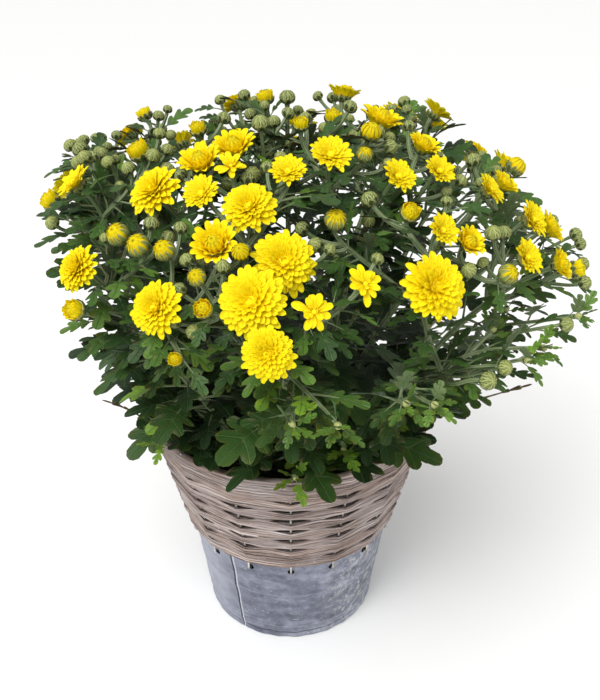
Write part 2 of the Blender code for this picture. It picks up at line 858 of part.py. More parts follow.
def attach_head(head, nodes, stems, used, space, reach):
    """Grow a side shoot to a head from the best node that leaves it room."""
    place, facing, width, kind = head
    seat = place - facing * (GAP + CALYX_HEIGHT * width) if kind == "bloom" else place
    ranked = []
    for node in nodes:
        way = seat - node.place
        lean = way.normalized().dot(node.axis)
        if not reach[0] < way.length < reach[1] or lean < 0.3:
            continue
        ranked.append((way.length * (1.6 - lean), len(ranked), node))
    radii = BUD_SHOOT_RADII if kind in ("bud", "yellow") else SHOOT_RADII
    for score, order, node in sorted(ranked, key=lambda row: row[:2])[:NODE_TRIES]:
        bm = stems[node.stem]
        for root in root_choices(node, seat, used):
            start = root.calc_center_median()
            first = (root.normal + node.axis * 0.8).normalized()
            length = (seat - start).length
            inner = (0.62,) if length > LONG_SHOOT and kind != "bud" else ()
            for bend in BENDS:
                sections = shoot_sections(start, first, seat, facing, radii, bend, inner)
                ending = head_sections(seat, facing, width, kind, sections[-1].across)
                if not space.is_free(*shell(sections + ending[1:], GAP + TEST_SWELL, root, ROOT_PUSH)):
                    continue
                space.add(*shell(sections, 0.0, root))
                used.add(root)
                cap, made = grow_shoot(bm, node.stem, root, sections, len(inner))
                finish_head(bm, cap, seat, facing, width, kind)
                if kind != "bloom":
                    space.add(*shell(ending))
                nodes += [each._replace(height=SHOOT_NODE) for each in made]
                return


# The leaves

def leaf_sections(start, first, out, length, droop, shape, rng):
    """A blade that leaves along first, levels out and droops."""
    sections = []
    across = out.cross(Vector((0, 0, 1))).normalized()
    roll = rng.uniform(-0.5, 0.5)
    for t, wide, sweep in shape:
        fall = Vector((0, 0, -1)) * droop * t
        axis = (first * (1 - t) * 0.9 + out * (0.4 + t) + fall).normalized()
        if sections:
            before = sections[-1]
            centre = before.centre + (before.axis + axis).normalized() * length * (t - last_t)
        else:
            centre = start + axis * length * t
        last_t = t
        tilt = (across + axis.cross(across) * roll).normalized()
        wide = max(wide * length, 0.0008)
        tall = 0.0010 if not sections else BLADE_HALF
        if t == 1.0:
            tall = 0.0004
        sections.append(Section(centre, axis, tilt, wide, tall, sweep * length))
    return sections


def place_leaves(nodes, stems, used, space, budget, shape, length_at):
    """Leaves at the nodes, lowest first, wherever a blade finds room."""
    rng = random.Random(23)
    placed = 0
    for node in sorted(nodes, key=lambda n: (n.height, n.stem)):
        if placed >= budget:
            break
        bm = stems[node.stem]
        grown = 0
        for root in node.faces:
            if root in used or not root.is_valid or grown == LEAVES_AT_NODE:
                continue
            root.normal_update()
            normal = root.normal.copy()
            start = root.calc_center_median()
            outward = Vector((node.place.x, node.place.y, 0.0)).normalized()
            level = Vector((normal.x, normal.y, 0.0))
            if level.length < 0.3 or normal.dot(outward) < -0.5:
                continue
            out = (level.normalized() + outward * 0.6).normalized()
            first = (normal + node.axis * 0.7).normalized()
            length = length_at(node) * rng.uniform(0.85, 1.1)
            for droop in DROOPS:
                sections = leaf_sections(start, first, out, length, droop, shape, rng)
                if not space.is_free(*shell(sections, GAP + TEST_SWELL, root, ROOT_PUSH)):
                    continue
                space.add(*shell(sections, 0.0, root))
                for section in sections:
                    cap = grow(bm, root if section is sections[0] else cap, section)
                used.add(root)
                placed += 1
                grown += 1
                break
    return placed


def make_plant(group, green, yellow):
    space = Space()
    space.add(*pot_shell())
    blooms = place_blooms(space)
    for index, (place, facing, width, kind, turn) in enumerate(blooms):
        bm = bloom_mesh(place, facing, width, kind, turn)
        add_object(f"bloom_{index + 1:02d}", bm, group, yellow)
    heads = [(place, facing, width, "bloom") for place, facing, width, kind, turn in blooms] + small_heads()
    heads += green_buds(heads)
    stems = []
    nodes = []
    waiting = list(heads)
    for azimuth, polar, foot in stem_roots():
        bm, made = make_main_stem(len(stems), azimuth, polar, foot, waiting, space)
        stems.append(bm)
        nodes += made
    used = set()
    waiting.sort(key=lambda head: -head[2])
    for head in waiting:
        reach = BUD_REACH if head[3] == "bud" else HEAD_REACH
        attach_head(head, nodes, stems, used, space, reach)
    lower = [node for node in nodes if node.height < UPPER_NODE]
    upper = [node for node in nodes if node.height >= UPPER_NODE]
    place_leaves(
        lower, stems, used, space, LOBED_LEAVES, LOBED_BLADE,
        lambda node: LOBED_LENGTH - LOBED_SHORTER * node.height,
    )
    place_leaves(upper, stems, used, space, PLAIN_LEAVES, PLAIN_BLADE, lambda node: PLAIN_LENGTH)
    for index, bm in enumerate(stems):
        add_object(f"leafy_stem_{index + 1:02d}", bm, group, green, yellow)


def main():
    clear_scene()
    parts = collection("pot_chrysanthemum")
    cutters = collection("cutters")
    zinc = material("weathered_zinc", (0.42, 0.46, 0.50), 0.55, 0.7)
    wire = material("thin_wire", (0.55, 0.54, 0.50), 0.4, 0.9)
    willow = material("whitewashed_willow", (0.42, 0.34, 0.29), 0.8)
    plastic = material("dark_plastic", (0.03, 0.03, 0.03), 0.5)
    earth = material("potting_soil", (0.05, 0.03, 0.02), 0.95)
    green = material("green_stem_and_leaf", (0.06, 0.16, 0.04), 0.5)
    yellow = material("yellow_petal", (0.90, 0.70, 0.02), 0.5)
    make_bucket(parts, cutters, zinc)
    make_wire_frame(parts, wire)
    make_collar(parts, willow)
    make_growing_pot(parts, plastic)
    roots = [foot for azimuth, polar, foot in stem_roots()]
    make_soil(roots, parts, cutters, earth)
    make_plant(parts, green, yellow)


main()
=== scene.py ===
import random
from collections import namedtuple
from math import atan2, copysign, cos, degrees, exp, hypot, pi, radians, sin, sqrt

import bmesh
import bpy
from mathutils import Matrix, Vector, noise
from mathutils.bvhtree import BVHTree
from mathutils.kdtree import KDTree


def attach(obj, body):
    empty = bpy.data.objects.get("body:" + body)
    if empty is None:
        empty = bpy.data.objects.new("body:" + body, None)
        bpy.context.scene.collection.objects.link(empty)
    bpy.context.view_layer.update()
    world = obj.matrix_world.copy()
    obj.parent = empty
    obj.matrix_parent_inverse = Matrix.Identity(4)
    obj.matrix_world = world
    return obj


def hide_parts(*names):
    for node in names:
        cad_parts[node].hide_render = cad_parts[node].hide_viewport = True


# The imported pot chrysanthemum, in metres, +Z up, the pot's front towards -Y.
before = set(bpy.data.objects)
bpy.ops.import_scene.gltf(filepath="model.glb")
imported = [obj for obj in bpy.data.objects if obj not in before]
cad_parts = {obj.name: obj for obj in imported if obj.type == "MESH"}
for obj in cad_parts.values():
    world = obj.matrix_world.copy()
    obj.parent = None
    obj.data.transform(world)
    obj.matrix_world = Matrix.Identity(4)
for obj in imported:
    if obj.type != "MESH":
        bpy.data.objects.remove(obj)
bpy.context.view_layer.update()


# The camera looks down on the plant from in front, half a metre up, through a slightly long lens.
# It stands on a plain pale floor, in the soft light of a large window on the left and pale walls.
CAMERA_PLACE = Vector((0.0, -0.528, 0.517))
CAMERA_DOWN = 0.50
CAMERA_TURN = 0.015
LENS = 41.14
FLOOR_HALF = 14.0
FLOOR_COLOUR = (0.92, 0.92, 0.91)
ROOM_COLOUR = (1.0, 1.0, 1.0)
ROOM_STRENGTH = 0.50
PLANT_MIDDLE = Vector((0.0, 0.0, 0.25))
DAYLIGHT_POWER = 2.1
DAYLIGHT_SPREAD = 1.1
DAYLIGHT_WAY = Vector((0.38, 0.58, -1.25))


def show(name, data):
    """A new object in the scene."""
    made = bpy.data.objects.new(name, data)
    bpy.context.scene.collection.objects.link(made)
    return made


look = Vector((
    sin(CAMERA_TURN) * cos(CAMERA_DOWN),
    cos(CAMERA_TURN) * cos(CAMERA_DOWN),
    -sin(CAMERA_DOWN),
))
camera_data = bpy.data.cameras.new("camera")
camera_data.lens = LENS
camera = show("camera", camera_data)
camera.location = CAMERA_PLACE
camera.rotation_euler = look.to_track_quat("-Z", "Y").to_euler()
bpy.context.scene.camera = camera

room = bpy.data.worlds.new("room")
room.use_nodes = True
room.node_tree.nodes["Background"].inputs["Color"].default_value = (*ROOM_COLOUR, 1.0)
room.node_tree.nodes["Background"].inputs["Strength"].default_value = ROOM_STRENGTH
bpy.context.scene.world = room
bpy.context.scene.view_settings.view_transform = "Standard"


def soft_light(name, place, width, power):
    """A square lamp that faces the middle of the plant."""
    data = bpy.data.lights.new(name, "AREA")
    data.energy = power
    data.size = width
    lamp = show(name, data)
    lamp.location = place
    lamp.rotation_euler = (PLANT_MIDDLE - lamp.location).to_track_quat("-Z", "Y").to_euler()


soft_light("window", (-0.8, -1.1, 1.5), 0.8, 13.0)
soft_light("wall", (1.3, -0.9, 0.7), 1.0, 4.0)
daylight = bpy.data.lights.new("daylight", "SUN")
daylight.energy = DAYLIGHT_POWER
daylight.angle = DAYLIGHT_SPREAD
daylight_lamp = show("daylight", daylight)
daylight_lamp.rotation_euler = DAYLIGHT_WAY.to_track_quat("-Z", "Y").to_euler()


def bare_finish(name, roughness, metallic=0.0, specular=0.5):
    """A new material and what its colour and bump nodes are hung on."""
    made = bpy.data.materials.new(name)
    made.use_nodes = True
    shader = made.node_tree.nodes["Principled BSDF"]
    shader.inputs["Roughness"].default_value = roughness
    shader.inputs["Metallic"].default_value = metallic
    shader.inputs["Specular IOR Level"].default_value = specular
    return made, made.node_tree, shader


pale_floor, _, floor_shader = bare_finish("pale_floor", 0.9)
floor_shader.inputs["Base Color"].default_value = (*FLOOR_COLOUR, 1.0)
floor_corners = [(x * FLOOR_HALF, y * FLOOR_HALF, 0) for x, y in ((-1, -1), (1, -1), (1, 1), (-1, 1))]
floor_mesh = bpy.data.meshes.new("floor")
floor_mesh.from_pydata(floor_corners, [], [(0, 1, 2, 3)])
floor_mesh.materials.append(pale_floor)
floor = show("floor", floor_mesh)


# The bucket is a cup of galvanised sheet with a whitish wash. Its side is closed by a folded seam at
# the front left, two shallow ridges run round it, its foot is rolled, and small holes are punched
# just under its top edge for the willow collar's wires.
BASE_RADIUS = 0.0684
ZINC_HEIGHT = 0.090
ZINC_RADIUS = 0.0815
SHEET = 0.0008
FOOT_HEIGHT = 0.0048
FOOT_PROUD = 0.0010
STAKES = 16
HOLE_RADIUS = 0.0026
HOLE_DOWN = 0.0080
SEAM_AZIMUTH = -0.60
SEAM_HALF = 0.026
SEAM_PROUD = 0.0009
RIDGES = (0.0140, 0.0530)
RIDGE_HALF = 0.0016
RIDGE_PROUD = 0.0005
ZINC_STATIONS = 160
CUP_FLOOR = 0.0018
# How deep the groove over the foot, the groove beside the seam and the dents are
FOOT_GROOVE = 0.0005
SEAM_GROOVE = 0.0007
SEAM_LIP = 0.0004
DENTS = 0.0009
# The whitish wash's colour, also painted on the left side as a painted sheen where the bucket faces the
# window
WASH_AND_SHEEN_COLOUR = (0.46, 0.48, 0.56)
# Painted highlight along the tops of the two ridges
RIDGE_HIGHLIGHT = (0.60, 0.62, 0.70)


def around(radius, azimuth, height):
    """The point at an azimuth in radians from the front."""
    return Vector((radius * sin(azimuth), -radius * cos(azimuth), height))


def stake_azimuth(index):
    return 2 * pi * index / STAKES


def smooth_step(low, high, value):
    t = min(max((value - low) / (high - low), 0.0), 1.0)
    return t * t * (3 - 2 * t)


def hump(distance, half):
    """A round ridge of height 1 and this half width."""
    return cos(min(abs(distance) / half, 1.0) * pi / 2) ** 2


def new_piece(name, points, faces, *finishes, slots=None):
    """A smooth mesh object; slots gives each face its finish's number."""
    mesh = bpy.data.meshes.new(name)
    mesh.from_pydata(points, [], faces)
    for finish in finishes:
        mesh.materials.append(finish)
    if slots:
        mesh.polygons.foreach_set("material_index", slots)
    mesh.shade_smooth()
    return show(name, mesh)


def ring_faces(rings, sides, start=0, closed=False):
    """Quads between rings of points that follow each other in a list."""
    faces = []
    for ring in range(rings if closed else rings - 1):
        below = start + ring * sides
        above = start + (ring + 1) % rings * sides
        for i in range(sides):
            j = (i + 1) % sides
            faces.append((below + i, below + j, above + j, above + i))
    return faces


def end_faces(rings, sides, start=0):
    """The two faces that close the first and the last of such rings."""
    last = start + (rings - 1) * sides
    return [[start + k for k in reversed(range(sides))], [last + k for k in range(sides)]]


def zinc_radius(height):
    return BASE_RADIUS + (ZINC_RADIUS - BASE_RADIUS) * height / ZINC_HEIGHT


def zinc_relief(azimuth, height):
    """How far the sheet stands out: foot roll, groove, ridges, the folded seam and small dents."""
    out = FOOT_PROUD * hump(height - FOOT_HEIGHT / 2, FOOT_HEIGHT / 2 + 0.0002)
    out -= FOOT_GROOVE * hump(height - FOOT_HEIGHT - 0.0010, 0.0008)
    for level in RIDGES:
        out += RIDGE_PROUD * hump(height - level, RIDGE_HALF)
    across = azimuth - SEAM_AZIMUTH
    fold = smooth_step(-SEAM_HALF, -SEAM_HALF * 0.7, across) * (1 - smooth_step(-0.004, 0.001, across))
    if height > FOOT_HEIGHT + 0.001:
        out += SEAM_PROUD * fold - SEAM_GROOVE * hump(across - 0.005, 0.006)
        out += SEAM_LIP * hump(across - 0.015, 0.008)
    return out + DENTS * (noise.noise(around(9.0, azimuth, height * 60)) - 0.2)


def wire_up(tree, kind, inputs=None, **settings):
    """One shader node, with its settings, and with the values or sockets that feed it."""
    made = tree.nodes.new("ShaderNode" + kind)
    for key, value in settings.items():
        setattr(made, key, value)
    for key, value in (inputs or {}).items():
        if isinstance(value, bpy.types.NodeSocket):
            tree.links.new(value, made.inputs[key])
        else:
            made.inputs[key].default_value = value
    return made


def tones(tree, factor, *stops):
    """A colour ramp: each stop is its place and its colour."""
    ramp = wire_up(tree, "ValToRGB", {"Fac": factor})
    points = ramp.color_ramp.elements
    while len(points) < len(stops):
        points.new(0.5)
    for point, (place, colour) in zip(points, stops):
        point.position = place
        point.color = (*colour, 1.0)
    return ramp.outputs["Color"]


def blended(tree, factor, low, high, kind="MIX"):
    """Two colours mixed by a factor; each is a socket or a plain colour."""
    mix = wire_up(tree, "Mix", data_type="RGBA", blend_type=kind)
    for socket, value in ((mix.inputs[0], factor), (mix.inputs[6], low), (mix.inputs[7], high)):
        if isinstance(value, bpy.types.NodeSocket):
            tree.links.new(value, socket)
        else:
            socket.default_value = value if isinstance(value, float) else (*value, 1.0)
    return mix.outputs[2]


def sums(tree, operation, a, b=0.0, c=0.0, clamp=False):
    """One step of shader arithmetic."""
    made = wire_up(tree, "Math", {0: a, 1: b, 2: c}, operation=operation, use_clamp=clamp)
    return made.outputs[0]


def cloudy(tree, place, scale, detail=3.0, roughness=0.55):
    """Soft noise over a place socket, from 0 to 1."""
    made = wire_up(tree, "TexNoise", {
        "Vector": place, "Scale": scale, "Detail": detail, "Roughness": roughness,
    })
    return made.outputs["Fac"]


def raised(tree, shader, height, distance):
    """Bump by a height socket, in metres."""
    bump = wire_up(tree, "Bump", {"Height": height, "Distance": distance})
    tree.links.new(bump.outputs["Normal"], shader.inputs["Normal"])


def times(tree, a, b):
    return sums(tree, "MULTIPLY", a, b)


def past(tree, value, level, gain):
    """How far a value is above a level, times a gain, from 0 to 1."""
    return sums(tree, "MULTIPLY", sums(tree, "SUBTRACT", value, level), gain, clamp=True)


def specks(tree, place, scale, level, roughness=0.55):
    """1 where a coarse noise is above a level, and 0 elsewhere."""
    return sums(tree, "GREATER_THAN", cloudy(tree, place, scale, 2, roughness), level)


def place_in(tree):
    """Where a point of the surface lies, for patterns that run through a whole piece."""
    return wire_up(tree, "TexCoord").outputs["Object"]


def painted(tree, shader, colour):
    tree.links.new(colour, shader.inputs["Base Color"])


def banded(tree, metal, value, *bands):
    """Soft bands over a colour, where a value is near a level: level, half width, strength, colour."""
    for level, half, amount, colour in bands:
        metal = blended(tree, near(tree, value, level, half, amount), metal, colour)
    return metal


def near(tree, value, level, half, amount):
    """A soft band of this half width where a value is close to a level."""
    away = sums(tree, "DIVIDE", sums(tree, "ABSOLUTE", sums(tree, "SUBTRACT", value, level)), half)
    band = sums(tree, "SUBTRACT", 1.5, times(tree, away, 1.5), clamp=True)
    return times(tree, band, amount)


def galvanised():
    """Blue-grey zinc: cloudy flakes, a whitish wash, fine scratches and pale specks, with painted shade in
    the foot and seam grooves, painted highlights on the ridges and the seam's lip, and a painted sheen on the
    left side.
    """
    made, tree, shader = bare_finish("galvanised_zinc", 0.5, 0.45, 0.4)
    place = place_in(tree)
    drag = wire_up(tree, "Mapping", {"Vector": place, "Scale": (1.0, 1.0, 3.5)}).outputs["Vector"]
    cloud = cloudy(tree, drag, 26, 6, 0.62)
    flakes = wire_up(tree, "TexVoronoi", {"Vector": place, "Scale": 210}).outputs["Color"]
    flake = wire_up(tree, "SeparateColor", {"Color": flakes}).outputs["Red"]
    metal = tones(tree, cloud, (0.28, (0.085, 0.092, 0.125)), (0.50, (0.165, 0.178, 0.235)),
                  (0.72, (0.33, 0.35, 0.43)))
    facets = tones(tree, flake, (0.0, (0.10, 0.11, 0.15)), (1.0, (0.42, 0.44, 0.52)))
    metal = blended(tree, 0.16, metal, facets)
    wash = past(tree, cloudy(tree, drag, 11, 5, 0.6), 0.50, 4.0)
    metal = blended(tree, times(tree, wash, 0.55), metal, WASH_AND_SHEEN_COLOUR)
    mottle = tones(tree, cloudy(tree, place, 95, 5, 0.7), (0.36, (0.62, 0.62, 0.64)),
                   (0.62, (1.22, 1.22, 1.20)))
    metal = blended(tree, 0.75, metal, mottle, "MULTIPLY")
    metal = blended(tree, specks(tree, place, 420, 0.755, 0.5), metal, (0.62, 0.64, 0.70))
    slanted = wire_up(tree, "Mapping", {
        "Vector": place, "Rotation": (0.5, 0.9, 0.3), "Scale": (40, 900, 300),
    }).outputs["Vector"]
    scratch = times(tree, specks(tree, slanted, 1.0, 0.70, 0.5), 0.35)
    metal = blended(tree, scratch, metal, (0.80, 0.82, 0.85))
    axes = wire_up(tree, "SeparateXYZ", {"Vector": place})
    metal = banded(
        tree, metal, axes.outputs["Z"],
        # Painted shade in the groove over the foot
        (FOOT_HEIGHT + 0.0011, 0.0009, 0.80, (0.03, 0.03, 0.04)),
        # Painted highlights along the tops of the ridges
        (RIDGES[0], 0.0008, 0.18, RIDGE_HIGHLIGHT),
        (RIDGES[1], 0.0008, 0.18, RIDGE_HIGHLIGHT),
    )
    azimuth = sums(tree, "ARCTAN2", axes.outputs["X"], times(tree, axes.outputs["Y"], -1.0))
    crust = past(tree, cloudy(tree, place, 170, 5, 0.75), 0.50, 9.0)
    crust = times(tree, crust, near(tree, azimuth, 0.85, 0.60, 0.60))
    metal = blended(tree, crust, metal, (0.66, 0.65, 0.64))
    metal = banded(
        tree, metal, azimuth,
        # Painted sheen on the left side, which faces the window
        (-1.10, 0.60, 0.45, WASH_AND_SHEEN_COLOUR),
        # Painted shade in the seam's groove, then a painted highlight on its lip
        (SEAM_AZIMUTH + 0.005, 0.009, 0.92, (0.012, 0.012, 0.018)),
        (SEAM_AZIMUTH + 0.020, 0.011, 0.60, (0.74, 0.76, 0.82)),
    )
    painted(tree, shader, metal)
    rough = tones(tree, cloud, (0.3, (0.42,) * 3), (0.7, (0.62,) * 3))
    tree.links.new(rough, shader.inputs["Roughness"])
    raised(tree, shader, sums(tree, "ADD", times(tree, flake, 0.25), cloudy(tree, place, 160, 4)), 0.0004)
    return made


# Heights close together at the foot and the ridges, and azimuths close together at the seam
zinc_heights = [FOOT_HEIGHT * i / 6 for i in range(7)]
zinc_heights += [FOOT_HEIGHT + 0.0005 * i for i in range(1, 6)]
for first, step, count in (
        (0.0085, 0.0010, 12), (0.0220, 0.0040, 7), (0.0495, 0.0010, 8), (0.0600, 0.0050, 6)):
    zinc_heights += [first + step * i for i in range(count)]
zinc_heights.append(ZINC_HEIGHT)
zinc_azimuths = [2 * pi * i / ZINC_STATIONS for i in range(ZINC_STATIONS)]
zinc_azimuths += [SEAM_AZIMUTH + 2 * pi + 0.0022 * i for i in range(-13, 12)]
zinc_azimuths.sort()
zinc_points = []
for azimuth in zinc_azimuths:
    turned = azimuth - 2 * pi if azimuth > pi else azimuth
    # From the middle of the floor up the inside, over the top edge and down the outside
    column = [(0.5 * BASE_RADIUS, CUP_FLOOR), (BASE_RADIUS - 0.0022, CUP_FLOOR)]
    column += [(zinc_radius(h) - SHEET, h) for h in (0.010, 0.030, 0.050, 0.070)]
    column.append((ZINC_RADIUS - SHEET - 0.0001, ZINC_HEIGHT - 0.0004))
    column.append((ZINC_RADIUS - SHEET / 2, ZINC_HEIGHT + 0.0001))
    column += [(zinc_radius(h) + zinc_relief(turned, h), h) for h in reversed(zinc_heights)]
    column += [(BASE_RADIUS - 0.0012, 0.0), (0.5 * BASE_RADIUS, 0.0006)]
    zinc_points += [around(radius, azimuth, height) for radius, height in column]
column_length = len(zinc_points) // len(zinc_azimuths)
zinc_faces = []
for i in range(len(zinc_azimuths)):
    here = i * column_length
    there = (i + 1) % len(zinc_azimuths) * column_length
    for k in range(column_length - 1):
        zinc_faces.append((here + k, here + k + 1, there + k + 1, there + k))
zinc_faces.append([i * column_length for i in range(len(zinc_azimuths))])
zinc_faces.append([(i + 1) * column_length - 1 for i in reversed(range(len(zinc_azimuths)))])
zinc = galvanised()
bucket = new_piece("bucket_sheet", zinc_points, zinc_faces, zinc)

punch = bmesh.new()
for index in range(STAKES):
    outward = around(1.0, stake_azimuth(index), 0.0)
    middle = around(ZINC_RADIUS, stake_azimuth(index), ZINC_HEIGHT - HOLE_DOWN)
    bmesh.ops.create_cone(
        punch, cap_ends=True, segments=20, radius1=HOLE_RADIUS, radius2=HOLE_RADIUS, depth=0.012,
        matrix=Matrix.Translation(middle) @ outward.to_track_quat("Z", "Y").to_matrix().to_4x4(),
    )
punch_mesh = bpy.data.meshes.new("punch")
punch.to_mesh(punch_mesh)
punch.free()
punch_piece = show("punch", punch_mesh)
holes = bucket.modifiers.new("holes", "BOOLEAN")
holes.operation = "DIFFERENCE"
holes.object = punch_piece


def settled(piece):
    """Apply a piece's modifiers, so that its mesh is final."""
    depsgraph = bpy.context.evaluated_depsgraph_get()
    piece.data = bpy.data.meshes.new_from_object(piece.evaluated_get(depsgraph))
    piece.modifiers.clear()


settled(bucket)
bpy.data.objects.remove(punch_piece)
bucket.data.shade_smooth()
bucket.data.set_sharp_from_angle(angle=radians(50))
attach(bucket, "root")
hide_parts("bucket")


# The wire frame holds the collar: sixteen thin stakes, each hooked into a hole of the zinc and bound
# to a ring at the rim, where their snipped ends stand up a little between the willow strips.
RIM_HEIGHT = 0.188
RIM_RADIUS = 0.110
STAKE_RADIUS = 0.0008
RING_RADIUS = 0.0010
GAP = 0.0003
STRAND_HALF = 0.0011
WIRE_SIDES = 8
RING_STEPS = 96


def wall_radius(height):
    """Where the stakes stand, in the middle of the willow wall."""
    swing = STAKE_RADIUS + GAP + STRAND_HALF
    top = RIM_RADIUS - swing - STRAND_HALF
    bottom = ZINC_RADIUS + STAKE_RADIUS + GAP
    along = (height - ZINC_HEIGHT) / (RIM_HEIGHT - ZINC_HEIGHT)
    return bottom + (top - bottom) * along


def swung(first, second, angle):
    """The direction at an angle from one direction towards another that is square to it."""
    return first * cos(angle) + second * sin(angle)


def tube(points, radii, sides, start, ribs=0, rib_depth=0.0, closed=False):
    """A round or ribbed tube along some points: its own points and faces, numbered from start."""
    made = []
    side = None
    count = len(points)
    for i, point in enumerate(points):
        ahead = points[(i + 1) % count] if closed or i + 1 < count else point
        behind = points[i - 1] if closed or i else point
        axis = (ahead - behind).normalized()
        side = axis.orthogonal() if side is None else side - axis * side.dot(axis)
        side.normalize()
        up = axis.cross(side)
        for k in range(sides):
            angle = 2 * pi * k / sides
            reach = radii[i] * (1 + rib_depth * cos(ribs * angle))
            made.append(point + swung(side, up, angle) * reach)
    return made, ring_faces(count, sides, start, closed) + ([] if closed else end_faces(count, sides, start))


def clouded(name, shine, cloud, stops, grit, bump):
    """A finish of one clouded colour over a fine rough surface; cloud and grit are noises."""
    made, tree, shader = bare_finish(name, *shine)
    place = place_in(tree)
    painted(tree, shader, tones(tree, cloudy(tree, place, *cloud), *stops))
    raised(tree, shader, cloudy(tree, place, *grit), bump)
    return made


rng = random.Random(5)
wire_points = []
wire_faces = []
ring_height = RIM_HEIGHT - RING_RADIUS
ring_line = [around(wall_radius(ring_height), 2 * pi * i / RING_STEPS, ring_height)
             for i in range(RING_STEPS)]
made, faces = tube(ring_line, [RING_RADIUS] * RING_STEPS, WIRE_SIDES, 0, closed=True)
wire_points += made
wire_faces += faces
for index in range(STAKES):
    azimuth = stake_azimuth(index)
    hook = ZINC_HEIGHT - HOLE_DOWN
    # From the snipped end over the ring, down the wall, and into the hole of the zinc
    snipped = RIM_HEIGHT + rng.uniform(-0.001, 0.004)
    line = [around(wall_radius(RIM_HEIGHT) + 0.0006, azimuth + 0.012, snipped),
            around(wall_radius(RIM_HEIGHT) + 0.0014, azimuth + 0.006, RIM_HEIGHT - 0.0010),
            around(wall_radius(RIM_HEIGHT - 0.003), azimuth, RIM_HEIGHT - 0.0035)]
    line += [around(wall_radius(h), azimuth, h) for h in (0.170, 0.150, 0.130, 0.110, 0.094)]
    line += [around(ZINC_RADIUS + 0.0016, azimuth, ZINC_HEIGHT - 0.0018),
             around(ZINC_RADIUS + 0.0014, azimuth, hook + 0.0016),
             around(ZINC_RADIUS - 0.0006, azimuth, hook - 0.0004),
             around(ZINC_RADIUS - 0.0036, azimuth, hook + 0.0004)]
    made, faces = tube(line, [STAKE_RADIUS] * len(line), WIRE_SIDES, len(wire_points))
    wire_points += made
    wire_faces += faces
# Bright thin wire, dulled in places
drawn_wire = clouded("drawn_wire", (0.35, 0.9), (260,), (
    (0.35, (0.30, 0.28, 0.25)), (0.6, (0.72, 0.70, 0.66))), (900,), 0.0002)
wires = new_piece("stakes_and_ring", wire_points, wire_faces, drawn_wire)
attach(wires, "root")
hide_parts("wire_frame")


# The willow collar is woven from bundles of split, whitewashed willow. Each row goes round outside
# the stakes, straight from one to the next, with a second strip inside them. At a stake the strips
# of a row are pinched together, which leaves dark lens-shaped gaps between the rows.
ROWS = 7
ROW_PITCH = 0.0110
WRAP_HEIGHT = 0.0185
BAY_STEPS = 10
PINCH = 0.66
PINCH_REACH = 0.44
STRIP_HALF = 0.00080
# A strip's section: how flat its sides are, how round its edges, and how high its ridges stand
STRIP_FLATNESS = 0.6
STRIP_ROUNDNESS = 0.8
STRIP_RIDGES = 0.22
# How open the gaps at the stakes are, how many of them are nearly shut, and how open those still are
GAPS_OPEN = (0.62, 1.0)
GAPS_SHUT = 0.08
SHUT_GAP = 0.2
# A strip runs mostly straight from stake to stake, and for the rest round with the wall
STRAIGHT_SHARE = 0.94
ROUND_SHARE = 0.06


def grain_in(tree):
    """What is stored at each point for the finishes: the whole vector and its three parts."""
    whole = wire_up(tree, "Attribute", attribute_name="grain").outputs["Vector"]
    parts = wire_up(tree, "SeparateXYZ", {"Vector": whole}).outputs
    return whole, parts["X"], parts["Y"], parts["Z"]


def split_willow():
    """Whitewashed willow: grey-pink wood with long brown fibres, chalky where the wash has stayed."""
    made, tree, shader = bare_finish("whitewashed_willow", 0.78, 0.0, 0.25)
    grain, *_, strip = grain_in(tree)
    long = wire_up(tree, "Mapping", {"Vector": grain, "Scale": (14, 850, 37)}).outputs["Vector"]
    fibre = cloudy(tree, long, 1.0, 5, 0.65)
    streak = wire_up(tree, "Mapping", {"Vector": grain, "Scale": (30, 2400, 11)}).outputs["Vector"]
    fine = cloudy(tree, streak, 1.0, 3, 0.6)
    wood = tones(tree, fibre, (0.37, (0.048, 0.035, 0.030)), (0.45, (0.24, 0.190, 0.170)),
                 (0.56, (0.45, 0.385, 0.365)), (0.67, (0.76, 0.700, 0.680)))
    tint = tones(tree, strip, (0.0, (0.80, 0.73, 0.71)), (0.5, (1.0, 0.97, 0.96)), (1.0, (0.98, 0.88, 0.80)))
    wood = blended(tree, 1.0, wood, tint, "MULTIPLY")
    place = place_in(tree)
    wash = past(tree, cloudy(tree, place, 34, 5, 0.6), 0.46, 3.0)
    wood = blended(tree, times(tree, wash, 0.40), wood, (0.62, 0.58, 0.585))
    chips = times(tree, specks(tree, place, 520, 0.735), 0.7)
    wood = blended(tree, chips, wood, (0.86, 0.82, 0.78))
    painted(tree, shader, wood)
    raised(tree, shader, sums(tree, "ADD", fibre, times(tree, fine, 0.6)), 0.0011)
    return made


class Strips:
    """Willow strips gathered into one mesh, with the grain's run kept at every point."""

    def __init__(self):
        self.points = []
        self.faces = []
        self.grain = []

    def lay(self, stations, closed, sides=8):
        """Add a strip; a station is its azimuth, radius, middle height, half height and half thickness."""
        start = len(self.points)
        tint = rng.random()
        run = rng.uniform(0, 5)
        middle = rng.uniform(0.1, 0.9)
        for azimuth, radius, height, half, thick in stations:
            for k in range(sides):
                angle = 2 * pi * k / sides
                flat = copysign(abs(cos(angle)) ** STRIP_FLATNESS, cos(angle))
                ridge = 1 + STRIP_RIDGES * cos(3 * angle + 6 * middle)
                rise = half * copysign(abs(sin(angle)) ** STRIP_ROUNDNESS, sin(angle))
                self.points.append(around(radius + thick * ridge * flat, azimuth, height + rise))
                self.grain.append((run + azimuth * radius, middle + rise, tint))
        self.faces += ring_faces(len(stations), sides, start, closed)
        if not closed:
            self.faces += end_faces(len(stations), sides, start)

    def finish(self, name, node):
        piece = new_piece(name, self.points, [tuple(reversed(face)) for face in self.faces], willow)
        keep_grain(piece, self.grain)
        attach(piece, "root")
        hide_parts(node)


